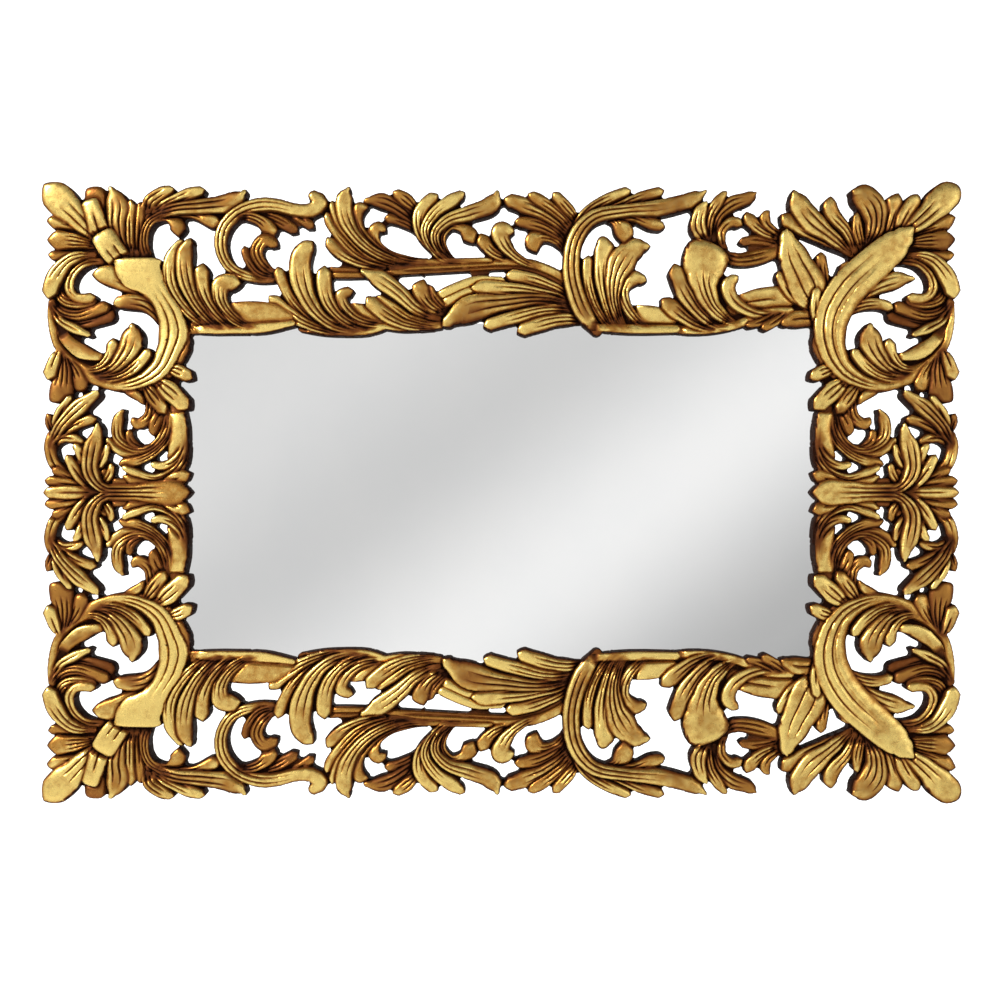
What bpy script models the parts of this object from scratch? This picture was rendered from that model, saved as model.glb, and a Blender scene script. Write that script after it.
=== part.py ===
"""A landscape wall mirror in a pierced, carved and gilded wooden frame.

Blender 4.5, metres, +Z up, front to -Y. The wall is the plane y = 0.
The origin is the middle of the back.
Run it with: blender --background --python part.py
"""
import math

import bmesh
import bpy
import numpy as np
from mathutils import Vector

# Driving sizes of the mirror, in metres.
FRAME_WIDTH = 1.193
FRAME_HEIGHT = 0.807
BASE_THICKNESS = 0.004

# Pane and backing board, let into one rebate from behind.
GLASS_THICKNESS = 0.004
BOARD_THICKNESS = 0.005
PANE_WIDTH = 0.837
PANE_HEIGHT = 0.442
FIT_GAP = 0.0003
REBATE_CLEARANCE = 0.001
REBATE_DEPTH = GLASS_THICKNESS + BOARD_THICKNESS + 2 * FIT_GAP

# Keyhole hanger plates, let in flush at the two upper corners.
PLATE_LENGTH = 0.052
PLATE_HEIGHT = 0.020
PLATE_THICKNESS = 0.002
PLATE_CORNER = 0.004
PLATE_INSET = 0.0915
PLATE_DROP = 0.0685
KEYHOLE_HEAD = 0.009
KEYHOLE_SLOT = 0.0045
KEYHOLE_RUN = 0.007
KEYHOLE_POCKET = 0.008
HEAD_CLEARANCE = 0.001

# Countersunk screws of the plates.
SCREW_HEAD = 0.0070
SCREW_SHANK = 0.0034
SCREW_LENGTH = 0.012
SCREW_CONE = 0.0018
SCREW_SPACING = 0.038

# How finely the solid follows the carving.
CUT_MARGIN = 0.004
SURFACE_TRIANGLES = 7700
CIRCLE_SIDES = 20

# The carver's pattern is drawn on squared paper, from the middle of the mirror.
# All pattern places and widths below are in its squares.
HALF_WIDE = 464
HALF_HIGH = 316
PAPER_STEP = 2.0
LEAF_SPREAD = 1.05
LEAF_MARGIN = 1.0
WEB_REACH = 3.0
FAR_AWAY = 99.0
SPINE_POINTS = 26

# Heights in the pattern are in millimetres over the base.
# The ground between leaves is no lower than the ground height.
RELIEF_UNIT = 0.001
GROUND_HEIGHT = 12.0

# How a leaf is cut: what lies beside it is set in by this many millimetres, over this many squares.
SET_IN = 4.0
SET_IN_REACH = 6.0
DOME_POWER = 3.0
ROOT_SHARE = 0.3
BARE_RISE = 0.5
TIP_POWER = 2.4
TIP_START = 0.93


def leaf(edge, dome, *stations, root=ROOT_SHARE, tip=TIP_POWER, blunt=1.0):
    """One leaf: the height of its edge, the rise of its crown in millimetres, and (x, z, width) stations.

    The edge may be a pair, at the root and at the tip. Over its root share it grows out of what is there.
    A low tip power makes a pointed tip and a high one a square tip, and blunt shortens it.
    """
    return {"edge": edge, "dome": dome, "stations": stations, "root": root, "tip": tip, "blunt": blunt}


# Leaves later in a list lie over earlier ones.
# The stile serves both sides, and all four lists serve top and bottom.
STILE = (
    # big C scroll band
    leaf((16, 17), 4, (-317, 166, 8), (-323, 146, 20), (-334, 129, 21), (-352, 115, 20), (-378, 109, 15),
         (-405, 116, 15), (-428, 128, 11), (-442, 146, 8), (-448, 165, 7), (-449, 192, 6), root=0.02),
    # inner dark curls beside the scroll
    leaf(14, 4, (-449, 188, 5), (-440, 175, 8), (-425, 169, 9), (-405, 173, 11), (-393, 177, 12), tip=1.8),
    leaf(15, 5, (-449, 195, 5), (-440, 182, 9), (-425, 178, 10), (-410, 182, 12), (-398, 186, 11), tip=1.8),
    leaf(15, 5, (-445, 205, 5), (-437, 193, 9), (-425, 190, 10), (-411, 193, 10), tip=2),
    leaf(18, 5, (-447, 182, 4), (-440, 172, 7), (-428, 165, 9), (-412, 158, 5)),
    leaf(20, 2, (-441, 167, 6), (-434, 153, 10), (-420, 143, 12), (-402, 138, 4)),
    # leaf rising inside the scroll
    leaf(18, 4, (-415, 124, 5), (-400, 126, 8), (-391, 136, 11), (-388, 148, 12)),
    leaf(20, 5, (-405, 119, 5), (-388, 124, 10), (-376, 137, 17), (-369, 152, 21), (-368, 166, 7)),
    leaf(18, 4, (-400, 114, 5), (-380, 117, 8), (-366, 126, 10), (-354, 140, 9)),
    # side hanging leaf
    leaf(17, 4, (-396, 231, 5), (-415, 230, 7), (-428, 219, 8), (-432, 205, 9), (-426, 196, 8),
         (-410, 195, 9)),
    leaf(17, 3, (-408, 239, 4), (-430, 237, 8), (-448, 238, 9)),
    leaf(19, 5, (-408, 238, 5), (-430, 233, 11), (-445, 217, 15), (-451, 201, 13)),
    # hanging cluster at the outer edge
    leaf(16, 4, (-432, 132, 5), (-426, 120, 12), (-421, 109, 14), tip=1.9),
    leaf(16, 4, (-438, 140, 6), (-438, 118, 16), (-440, 102, 21), (-440, 96, 22), tip=3, blunt=2),
    leaf(18, 5, (-441, 144, 5), (-447, 130, 11), (-451, 119, 12)),
    # leaves between scroll and window
    leaf(18, 4, (-333, 124, 6), (-322, 121, 12), (-314, 117, 12)),
    leaf(18, 3, (-380, 104, 5), (-368, 99, 8), (-357, 91, 6)),
    leaf(16, 4, (-355, 104, 6), (-351, 88, 9), (-353, 76, 10), (-363, 69, 10), (-367, 72, 7)),
    leaf(18, 4, (-357, 108, 6), (-347, 95, 14), (-339, 84, 11)),
    leaf(20, 4, (-345, 112, 8), (-331, 101, 17), (-318, 89, 15)),
    # stile scroll
    leaf(19, 3, (-324, 84, 13), (-324, 60, 19), (-324, 38, 17), (-331, 22, 10), root=0.1),
    leaf(15, 3, (-340, 80, 8), (-346, 70, 10), (-348, 62, 9)),
    leaf(16, 5, (-335, 82, 6), (-336, 62, 9), (-348, 45, 10), (-370, 39, 11), (-384, 45, 10),
         (-392, 52, 7)),
    leaf(16, 5, (-350, 46, 6), (-368, 45, 8), (-383, 56, 10), (-383, 72, 10), (-378, 82, 3)),
    leaf(15, 3, (-360, 46, 4), (-370, 52, 7), (-372, 60, 6)),
    leaf(17, 4, (-330, 62, 4), (-338, 48, 6), (-353, 36, 7), (-377, 29, 10)),
    leaf(18, 4, (-316, 50, 6), (-324, 34, 9), (-337, 27, 8), (-347, 28, 6)),
    leaf(18, 5, (-315, 45, 5), (-322, 25, 9), (-345, 13, 10), (-365, 19, 9), (-376, 25, 5)),
    leaf(17, 4, (-322, 22, 5), (-345, 8, 8), (-365, 10, 9), (-375, 14, 8)),
    leaf(16, 3, (-392, 12, 5), (-378, 9, 8)),
    # left arc and its leaves
    leaf(17, 4, (-408, 0, 9), (-428, 10, 11), (-445, 26, 10), (-451, 45, 10), (-448, 60, 8)),
    leaf(16, 3, (-449, 60, 6), (-451, 70, 10), (-453, 76, 6)),
    leaf(17, 4, (-448, 45, 5), (-438, 54, 8), (-426, 53, 9), (-420, 49, 8)),
    leaf(17, 4, (-442, 56, 5), (-426, 67, 9), (-409, 73, 9)),
    leaf(19, 4, (-447, 60, 6), (-440, 78, 11), (-431, 94, 6)),
    leaf(20, 5, (-450, 48, 6), (-440, 66, 10), (-422, 85, 14), (-406, 97, 9), (-403, 101, 3)),
    leaf(18, 4, (-412, 5, 6), (-422, 15, 10), (-429, 27, 9)),
    leaf(16, 3, (-408, 10, 6), (-401, 17, 9), (-396, 20, 8)),
    leaf(17, 3, (-411, 22, 6), (-402, 31, 10), (-397, 36, 9)),
    leaf(19, 4, (-410, 8, 6), (-417, 27, 11), (-418, 42, 10)),
    leaf(20, 5, (-403, 4, 8), (-410, 25, 15), (-406, 45, 16), (-401, 60, 9), (-402, 67, 3)),
    # centre strip
    leaf(16, 3, (-425, 3, 5), (-445, 8, 9), (-452, 9, 9)),
    leaf(16, 3, (-335, 8, 8), (-322, 14, 12), (-316, 15, 8)),
    leaf(17, 3, (-330, 0, 16), (-400, 0, 9), (-440, 0, 12), (-451, 0, 10)),
    leaf(19, 3, (-350, 0, 6), (-330, 0, 14), (-317, 0, 12)),
    leaf(20, 4, (-400, 14, 5), (-385, 5, 5), (-365, 2, 6), (-340, 5, 6), (-322, 14, 5)),
)
RAIL = (
    # rods
    leaf(14, 3, (-172, 223, 6), (-140, 223, 6), root=0.01),
    leaf(14, 4, (-172, 218, 5), (-140, 218, 5), (-100, 221, 5), (-50, 224, 5), (0, 227, 6), (30, 226, 9),
         (66, 208, 9), root=0.01),
    leaf(16, 4, (-110, 226, 6), (-50, 228, 6), (0, 231, 6), (30, 229, 8), (66, 213, 8), root=0.01),
    leaf(16, 3, (-100, 230, 5), (-50, 232, 4), (-10, 233, 4), root=0.01),
    # second wing
    leaf(18, 2, (-165, 178, 18), (-140, 178, 20), (-118, 172, 14), root=0.1),
    leaf(18, 3, (-200, 165, 6), (-170, 162, 8), (-135, 163, 9), (-112, 168, 5), root=0.1),
    leaf(17, 4, (-150, 160, 5), (-185, 170, 8), (-207, 190, 9), (-218, 210, 10), (-222, 221, 10)),
    leaf(20, 4, (-165, 160, 4), (-190, 167, 8), (-212, 179, 12), (-227, 192, 12)),
    leaf(18, 5, (-118, 169, 5), (-140, 172, 8), (-156, 184, 12), (-160, 196, 12), (-152, 201, 9)),
    leaf(18, 5, (-135, 163, 5), (-160, 175, 9), (-173, 192, 13), (-177, 210, 14), (-177, 220, 13)),
    leaf(19, 5, (-145, 161, 5), (-175, 172, 10), (-192, 192, 15), (-200, 215, 20), (-200, 235, 19),
         (-193, 246, 14)),
    # third wing
    leaf(18, 3, (-70, 188, 12), (-52, 197, 17), (-28, 207, 16), (0, 211, 9), root=0.1),
    leaf(17, 4, (-55, 183, 6), (-66, 192, 10), (-72, 204, 9)),
    leaf(18, 4, (-58, 180, 6), (-72, 188, 10), (-80, 200, 15), (-80, 205, 16)),
    leaf(18, 3, (-120, 168, 6), (-95, 166, 8), (-60, 168, 6), root=0.1),
    leaf(19, 5, (-62, 174, 5), (-85, 184, 11), (-102, 200, 15), (-120, 213, 17), (-138, 222, 5)),
    leaf(18, 4, (-62, 168, 5), (-90, 173, 9), (-108, 184, 11), (-122, 194, 8)),
    leaf(20, 4, (-68, 165, 4), (-95, 168, 8), (-115, 178, 12), (-130, 191, 12)),
    # fan on the rod
    leaf(19, 4, (-118, 226, 5), (-145, 232, 9), (-163, 243, 13), (-170, 250, 12)),
    leaf(17, 4, (-105, 228, 5), (-140, 238, 9), (-158, 255, 11), (-169, 270, 12), (-173, 277, 8)),
    leaf(17, 5, (-100, 229, 5), (-130, 238, 7), (-150, 256, 8), (-161, 272, 10), (-168, 288, 8)),
    leaf(17, 4, (-75, 232, 5), (-105, 236, 7), (-122, 245, 9), (-129, 257, 12), (-124, 266, 10),
         (-118, 264, 7)),
    leaf(17, 4, (-90, 231, 5), (-118, 240, 8), (-136, 255, 10), (-145, 270, 12), (-143, 283, 12),
         (-137, 286, 8)),
    leaf(19, 5, (-95, 230, 5), (-125, 240, 8), (-145, 257, 10), (-155, 275, 14), (-157, 292, 15),
         (-152, 304, 3)),
    # lobes reaching left from the middle spray
    leaf(15, 4, (-84, 262, 6), (-98, 272, 10), (-112, 275, 9)),
    leaf(16, 4, (-86, 270, 6), (-100, 283, 12), (-118, 292, 14), (-135, 292, 5)),
    leaf(17, 4, (-84, 282, 6), (-95, 293, 12), (-104, 299, 9)),
    # middle spray
    leaf(17, 4, (-57, 240, 5), (-60, 256, 8), (-50, 268, 8), (-38, 265, 9), (-31, 257, 15)),
    leaf(18, 4, (-64, 236, 5), (-81, 262, 10), (-81, 280, 12), (-68, 295, 11)),
    leaf(19, 4, (-68, 238, 5), (-76, 262, 8), (-66, 280, 10), (-50, 292, 12), (-40, 298, 8)),
    leaf(20, 5, (-60, 240, 5), (-66, 258, 8), (-54, 272, 10), (-30, 280, 14), (-10, 288, 16), (-4, 300, 4)),
    # small fan
    leaf(17, 4, (8, 234, 5), (-8, 241, 9), (-18, 253, 13)),
    leaf(18, 5, (35, 226, 5), (14, 237, 8), (3, 250, 13), (0, 261, 18), (7, 262, 12)),
    # lobes reaching left from the great spray
    leaf(16, 4, (63, 243, 5), (56, 252, 8), (42, 257, 10), (33, 253, 16), (33, 248, 14)),
    leaf(16, 4, (64, 252, 5), (45, 265, 10), (30, 270, 12), (18, 271, 9)),
    leaf(17, 5, (70, 258, 6), (45, 278, 11), (25, 287, 15), (9, 292, 13)),
    leaf(16, 4, (72, 265, 5), (54, 282, 10), (38, 293, 11), (31, 297, 9)),
    leaf(17, 4, (77, 272, 5), (66, 285, 10), (55, 297, 9)),
    # leaf bundle
    leaf(18, 4, (72, 195, 5), (50, 206, 9), (30, 213, 12), (11, 217, 12)),
    leaf(19, 4, (72, 190, 5), (45, 198, 8), (15, 202, 13), (-15, 204, 16), (-27, 205, 5)),
    leaf(19, 4, (84, 172, 6), (60, 173, 11), (40, 169, 13), (22, 163, 12)),
    leaf(19, 4, (74, 182, 5), (45, 183, 9), (15, 176, 12), (-12, 168, 11)),
    leaf(20, 4, (72, 187, 5), (40, 193, 9), (5, 190, 14), (-30, 184, 24), (-54, 170, 10)),
    # fourth wing
    leaf(18, 2, (132, 180, 14), (150, 178, 16), (170, 175, 14), root=0.1),
    leaf(18, 3, (90, 166, 6), (130, 164, 8), (175, 164, 7), root=0.1),
    leaf(17, 4, (112, 163, 5), (95, 185, 8), (87, 210, 9), (87, 232, 10)),
    leaf(18, 5, (118, 163, 5), (106, 190, 10), (102, 220, 16), (104, 240, 20), (102, 250, 12), tip=1.8),
    leaf(18, 5, (145, 166, 5), (127, 184, 9), (122, 202, 11), (130, 214, 15), (141, 213, 9)),
    leaf(19, 5, (125, 164, 5), (113, 190, 10), (114, 214, 17), (121, 231, 25), (131, 243, 20),
         (145, 246, 7)),
    # great spray
    leaf(17, 4, (88, 267, 4), (100, 276, 6), (114, 273, 9), (122, 263, 17), (123, 259, 17)),
    leaf(17, 4, (100, 277, 5), (130, 277, 9), (150, 270, 12), (159, 267, 9)),
    leaf(18, 4, (72, 258, 6), (85, 280, 9), (105, 293, 10), (125, 301, 9)),
    leaf(18, 4, (90, 276, 5), (115, 285, 8), (140, 295, 11), (158, 301, 9)),
    leaf(20, 5, (96, 163, 10), (80, 185, 16), (70, 222, 15), (75, 255, 15), (92, 275, 13),
         (125, 282, 11), (160, 285, 15), (190, 293, 14), (204, 301, 2), root=0.05),
    # fifth wing
    leaf(18, 2, (235, 188, 16), (262, 193, 22), (285, 195, 22), root=0.1),
    leaf(18, 3, (175, 164, 7), (205, 163, 7), (235, 168, 7), (262, 178, 10), (290, 180, 10), root=0.1),
    leaf(19, 4, (210, 163, 5), (190, 171, 10), (173, 184, 15), (165, 190, 12)),
    leaf(20, 4, (222, 164, 5), (200, 178, 11), (184, 200, 16), (175, 221, 15)),
    leaf(18, 4, (280, 178, 6), (252, 180, 9), (233, 192, 12), (227, 206, 13), (233, 214, 9)),
    leaf(20, 5, (238, 168, 5), (214, 183, 14), (204, 203, 21), (202, 220, 30), (204, 233, 41),
         (206, 239, 41), tip=2.2, blunt=1.9),
    # small lobes under the rail
    leaf(17, 3, (275, 180, 4), (262, 172, 7), (248, 168, 6)),
    leaf(17, 3, (285, 180, 4), (275, 172, 8), (264, 166, 8)),
    # last spray
    leaf(15, 4, (224, 240, 8), (235, 234, 12), (255, 236, 14), (278, 244, 12)),
    leaf(14, 3, (278, 248, 5), (258, 253, 9), (242, 252, 7)),
    leaf(17, 4, (278, 256, 5), (262, 262, 9), (250, 272, 12), (247, 276, 10)),
    leaf(17, 3, (280, 260, 5), (268, 267, 7), (264, 275, 9), (266, 280, 6)),
    leaf(16, 4, (224, 245, 5), (221, 262, 8), (230, 271, 9), (237, 270, 9)),
    leaf(17, 4, (213, 254, 5), (216, 275, 9), (230, 289, 13), (247, 295, 11), (254, 300, 2)),
    leaf(18, 4, (208, 253, 5), (208, 275, 9), (216, 290, 10), (223, 299, 6)),
    leaf(19, 4, (206, 252, 6), (197, 265, 15), (199, 280, 12), (204, 289, 5)),
)
LEFT_CORNER = (
    # corner fan, side lobes
    leaf(17, 4, (-410, 264, 6), (-430, 270, 12), (-446, 272, 15)),
    leaf(17, 4, (-405, 248, 6), (-430, 252, 14), (-444, 253, 18)),
    # dark ball and leaf behind the strap
    leaf(14, 3, (-408, 280, 12), (-407, 292, 18), (-407, 297, 18), tip=3),
    # corner lobe
    leaf(20, 4, (-402, 252, 8), (-424, 276, 20), (-440, 292, 28), (-446, 298, 27), tip=1.35),
    # upright fan
    leaf(15, 4, (-356, 236, 8), (-357, 262, 10), (-352, 276, 8)),
    leaf(16, 4, (-364, 238, 5), (-364, 265, 11), (-361, 286, 10)),
    leaf(17, 5, (-370, 238, 5), (-373, 262, 11), (-371, 288, 11)),
    leaf(18, 5, (-376, 240, 5), (-385, 268, 17), (-384, 288, 20), (-390, 304, 5)),
    # strap of overlapping lengths
    leaf(21, 3, (-401, 258, 18), (-405, 272, 17), (-409, 285, 15), tip=4),
    leaf(22, 3, (-380, 232, 20), (-389, 244, 22), (-393, 250, 22), tip=4),
    # spray over the first hole
    leaf(17, 4, (-353, 234, 8), (-357, 256, 8), (-350, 272, 8), (-335, 277, 8), (-325, 270, 12),
         (-323, 264, 14)),
    leaf(17, 4, (-353, 270, 5), (-335, 279, 7), (-310, 280, 9), (-290, 272, 12), (-284, 269, 8)),
    leaf(18, 4, (-354, 282, 8), (-351, 291, 12), (-340, 299, 12), (-331, 303, 8)),
    leaf(19, 4, (-350, 280, 6), (-330, 290, 10), (-312, 298, 12), (-300, 302, 8)),
    leaf(20, 5, (-350, 276, 6), (-325, 284, 11), (-295, 287, 14), (-270, 291, 17), (-256, 301, 4)),
    # ring stem
    leaf(15, 3, (-215, 284, 5), (-202, 276, 9), (-191, 268, 8)),
    leaf(17, 5, (-230, 215, 8), (-254, 217, 9), (-271, 226, 10), (-280, 245, 11), (-277, 265, 12),
         (-262, 281, 12), (-240, 288, 13), (-222, 287, 12), (-205, 283, 11), (-189, 283, 13),
         (-181, 291, 14), (-187, 297, 10), root=0.12, tip=2),
    leaf(15, 3, (-240, 279, 5), (-222, 272, 10), (-208, 264, 9)),
    leaf(17, 4, (-262, 276, 5), (-245, 274, 9), (-233, 265, 13), (-231, 261, 13)),
    leaf(14, 4, (-228, 217, 5), (-243, 222, 8), (-252, 234, 10), (-256, 243, 8)),
    leaf(15, 4, (-228, 221, 6), (-240, 230, 10), (-245, 243, 12), (-238, 253, 12), (-228, 250, 10)),
    # first wing
    leaf(18, 2, (-305, 168, 10), (-275, 175, 26), (-255, 176, 28), (-232, 177, 24), (-212, 172, 12),
         root=0.1),
    leaf(18, 3, (-310, 163, 6), (-280, 164, 9), (-240, 165, 9), (-208, 170, 5), root=0.1),
    leaf(18, 5, (-290, 163, 5), (-318, 187, 10), (-331, 210, 13), (-330, 232, 13), (-320, 250, 7)),
    leaf(19, 5, (-250, 165, 5), (-270, 177, 10), (-281, 194, 14), (-279, 208, 17), (-268, 210, 15)),
    leaf(18, 5, (-268, 164, 5), (-290, 185, 10), (-299, 205, 14), (-299, 222, 14)),
    leaf(19, 5, (-280, 163, 5), (-305, 190, 10), (-315, 215, 15), (-316, 238, 15), (-311, 251, 7)),
    # corner body
    leaf(18, 4, (-336, 170, 8), (-346, 190, 12), (-360, 204, 17), (-378, 213, 20), (-391, 217, 19),
         (-401, 218, 14)),
    leaf(18, 4, (-334, 160, 8), (-342, 177, 12), (-355, 188, 14), (-371, 191, 14), (-382, 190, 11)),
    leaf(20, 4, (-332, 156, 6), (-337, 178, 8), (-349, 196, 9), (-364, 209, 10), (-377, 218, 8)),
    leaf((17, 22), 3, (-392, 107, 6), (-365, 110, 11), (-343, 123, 17), (-333, 142, 21), (-328, 160, 26),
         (-331, 177, 22), (-339, 193, 18), (-347, 206, 20), (-356, 217, 31), (-362, 224, 39),
         (-363, 231, 43), root=0.1, tip=3, blunt=6),
)
RIGHT_CORNER = (
    # fans of the corner
    leaf(17, 4, (348, 240, 5), (325, 252, 9), (303, 263, 11), (286, 274, 14)),
    leaf(17, 4, (355, 240, 5), (346, 262, 10), (331, 280, 14), (329, 290, 12)),
    leaf(19, 5, (352, 238, 5), (330, 256, 13), (311, 272, 21), (299, 287, 19), (293, 299, 7)),
    leaf(16, 4, (362, 245, 6), (357, 262, 10), (356, 277, 7)),
    leaf(17, 5, (383, 252, 6), (388, 272, 14), (394, 291, 17)),
    leaf(18, 4, (395, 258, 6), (404, 276, 15), (413, 292, 13), tip=1.6),
    leaf(18, 5, (366, 246, 8), (374, 268, 17), (372, 285, 24), (364, 295, 23), (355, 300, 11)),
    leaf(17, 4, (405, 258, 6), (430, 268, 13), (445, 273, 17)),
    leaf(17, 4, (405, 250, 6), (430, 252, 14), (444, 253, 18)),
    leaf(20, 4, (400, 258, 8), (424, 277, 18), (440, 293, 26), (446, 298, 25), tip=1.7),
    leaf(17, 3, (316, 172, 10), (298, 171, 12), (284, 168, 7)),
    # left broad leaf
    leaf(18, 4, (312, 184, 6), (292, 200, 13), (279, 217, 10)),
    leaf(17, 3, (326, 205, 5), (322, 222, 10), (320, 236, 9)),
    leaf(20, 4, (315, 180, 16), (306, 208, 34), (294, 232, 28), (286, 254, 13), (285, 262, 3)),
    leaf(20, 4, (315, 168, 5), (314, 186, 10), (315, 201, 8)),
    # strap lobes
    leaf(18, 4, (345, 182, 8), (368, 202, 13), (392, 212, 16), (411, 214, 4)),
    leaf(18, 4, (335, 170, 6), (352, 184, 9), (372, 189, 10), (387, 186, 9)),
    leaf(20, 4, (325, 175, 10), (335, 200, 14), (345, 226, 11)),
    leaf((17, 22), 3, (392, 107, 6), (365, 110, 11), (343, 123, 18), (332, 142, 24), (329, 163, 29),
         (333, 182, 32), (348, 206, 33), (372, 229, 31), (391, 245, 28), (398, 251, 25), root=0.1, tip=1.2),
)


def mirrored(leaves):
    """The same leaves, turned over left to right."""
    return [dict(one, stations=[(-x, z, width) for x, z, width in one["stations"]]) for one in leaves]


def spine(stations, count=SPINE_POINTS):
    """Points along a smooth curve through a leaf's stations, and the half width at each."""
    given = np.array(stations, float)
    if len(given) == 2:
        given = np.array([given[0], given.mean(axis=0), given[1]])
    knots = np.concatenate([[0.0], np.cumsum(np.sqrt(np.hypot(*np.diff(given[:, :2], axis=0).T)))])
    slopes = np.diff(given, axis=0) / np.diff(knots)[:, None]
    tangents = np.zeros_like(given)
    before = np.diff(knots)[:-1, None]
    after = np.diff(knots)[1:, None]
    tangents[1:-1] = (slopes[:-1] * after + slopes[1:] * before) / (before + after)
    tangents[0] = 2 * slopes[0] - tangents[1]
    tangents[-1] = 2 * slopes[-1] - tangents[-2]
    along = np.linspace(0, knots[-1], count)
    piece = np.clip(np.searchsorted(knots, along, side="right") - 1, 0, len(given) - 2)
    run = (knots[piece + 1] - knots[piece])[:, None]
    share = (along - knots[piece])[:, None] / run
    ease = share * share * (3 - 2 * share)
    points = (
        (1 - ease) * given[piece]
        + ease * given[piece + 1]
        + share * (1 - share) ** 2 * run * tangents[piece]
        - share ** 2 * (1 - share) * run * tangents[piece + 1]
    )
    width = given[piece, 2] * (1 - ease[:, 0]) + given[piece + 1, 2] * ease[:, 0]
    return points[:, :2], np.maximum(width * LEAF_SPREAD + LEAF_MARGIN, 0.1) / 2


class Panel:
    """The upper half of the board on squared paper: the gap to the nearest leaf, and the carved height."""

    def __init__(self):
        self.x = np.arange(-HALF_WIDE, HALF_WIDE + PAPER_STEP, PAPER_STEP)
        self.z = np.arange(0, HALF_HIGH + PAPER_STEP, PAPER_STEP)
        self.gap = np.full((len(self.z), len(self.x)), FAR_AWAY)
        self.height = np.zeros(self.gap.shape)

    def near(self, points, reach):
        """The part of the paper within reach of a row of points."""
        low = points.min(axis=0) - reach
        high = points.max(axis=0) + reach
        columns = slice(*np.searchsorted(self.x, (low[0], high[0])))
        rows = slice(*np.searchsorted(self.z, (low[1], high[1])))
        return rows, columns

    def carve(self, one):
        """Cut one leaf over those already there."""
        points, half = spine(one["stations"])
        here = self.near(points, half.max() + SET_IN_REACH)
        x, z = np.meshgrid(self.x[here[1]], self.z[here[0]])
        if x.size == 0:
            return
        steps = np.diff(points, axis=0)
        lengths = np.hypot(*steps.T) + 1e-6
        reached = np.concatenate([[0.0], np.cumsum(lengths)]) / lengths.sum()
        gap = np.full(x.shape, FAR_AWAY)
        along = np.zeros(x.shape)
        across = np.zeros(x.shape)
        for i, step in enumerate(steps):
            dx = x - points[i, 0]
            dz = z - points[i, 1]
            passed = (dx * step[0] + dz * step[1]) / lengths[i]
            share = np.clip(passed / lengths[i], 0, 1)
            away = np.hypot(dx - share * step[0], dz - share * step[1])
            if i == len(steps) - 1:
                over = np.maximum(passed - lengths[i], 0) * one["blunt"]
                aside = np.abs(step[0] * dz - step[1] * dx) / lengths[i]
                rounded = (over ** one["tip"] + aside ** one["tip"]) ** (1 / one["tip"])
                away = np.where(over > 0, rounded, away)
                gap = np.where((over > 0) & (along > TIP_START), FAR_AWAY, gap)
            wide = half[i] + (half[i + 1] - half[i]) * share
            closer = away - wide < gap
            gap = np.where(closer, away - wide, gap)
            along = np.where(closer, reached[i] + (reached[i + 1] - reached[i]) * share, along)
            across = np.where(closer, away / wide, across)
        edge = np.interp(along, (0, 1), np.broadcast_to(one["edge"], 2))
        rise = np.clip(along / one["root"], 0, 1)
        rise = rise * rise * (3 - 2 * rise)
        height = self.height[here]
        beside = (gap > 0) & (gap < SET_IN_REACH)
        height = height - beside * SET_IN * rise * (1 - np.clip(gap / SET_IN_REACH, 0, 1)) ** 2
        crown = edge + one["dome"] * (1 - np.clip(across, 0, 1) ** DOME_POWER)
        bare = self.gap[here] > 0
        under = np.where(bare, GROUND_HEIGHT, height)
        rise = np.where(bare, np.maximum(rise, BARE_RISE), rise)
        self.height[here] = np.where(gap <= 0, under * (1 - rise) + crown * rise, height)
        self.gap[here] = np.minimum(self.gap[here], gap)

    def join_leaves(self):
        """Leave wood standing where leaves nearly touch: grow them by WEB_REACH, then shrink them again."""
        reach = WEB_REACH + 2 * PAPER_STEP
        steps = int(reach / PAPER_STEP)
        beyond = np.where((self.gap >= WEB_REACH) & (self.gap < reach), self.gap - WEB_REACH, -FAR_AWAY)
        beyond = np.where(self.gap >= reach, 0.0, beyond)
        padded = np.pad(beyond, steps, mode="edge")
        inward = np.full(self.gap.shape, reach)
        for i in range(2 * steps + 1):
            for j in range(2 * steps + 1):
                away = math.hypot(i - steps, j - steps) * PAPER_STEP
                moved = padded[i:i + self.gap.shape[0], j:j + self.gap.shape[1]]
                inward = np.minimum(inward, away - moved)
        deep = np.minimum(self.gap, -PAPER_STEP)
        self.gap = np.where(inward < reach, np.minimum(self.gap, WEB_REACH - inward), deep)


def whole_board():
    """The carved half and its mirror image below, as x, z, gap and height."""
    panel = Panel()
    for leaves in (STILE, mirrored(STILE), RAIL, LEFT_CORNER, RIGHT_CORNER):
        for one in leaves:
            panel.carve(one)
    panel.join_leaves()
    height = BASE_THICKNESS + RELIEF_UNIT * np.maximum(panel.height, GROUND_HEIGHT)
    z = np.concatenate([-panel.z[:0:-1], panel.z])
    gap = np.concatenate([panel.gap[:0:-1], panel.gap])
    return panel.x, z, gap, np.concatenate([height[:0:-1], height])


# A cell of the paper has its four corners counted round from the lower left, and its four sides after them.
CORNER_STEPS = ((0, 0), (0, 1), (1, 1), (1, 0))
NEAREST_CUT = 0.15


def cell_walk(inside):
    """The corners (0 to 3) and cut sides (4 to 7) met going round a cell, and the pairs of cut sides."""
    walk = []
    cuts = []
    for k in range(4):
        if inside[k]:
            walk.append(k)
        if inside[k] != inside[(k + 1) % 4]:
            walk.append(4 + k)
    for k, slot in enumerate(walk):
        after = walk[(k + 1) % len(walk)]
        if slot >= 4 and after >= 4 and inside[slot - 4]:
            cuts.append((slot, after))
    return walk, cuts


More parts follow.
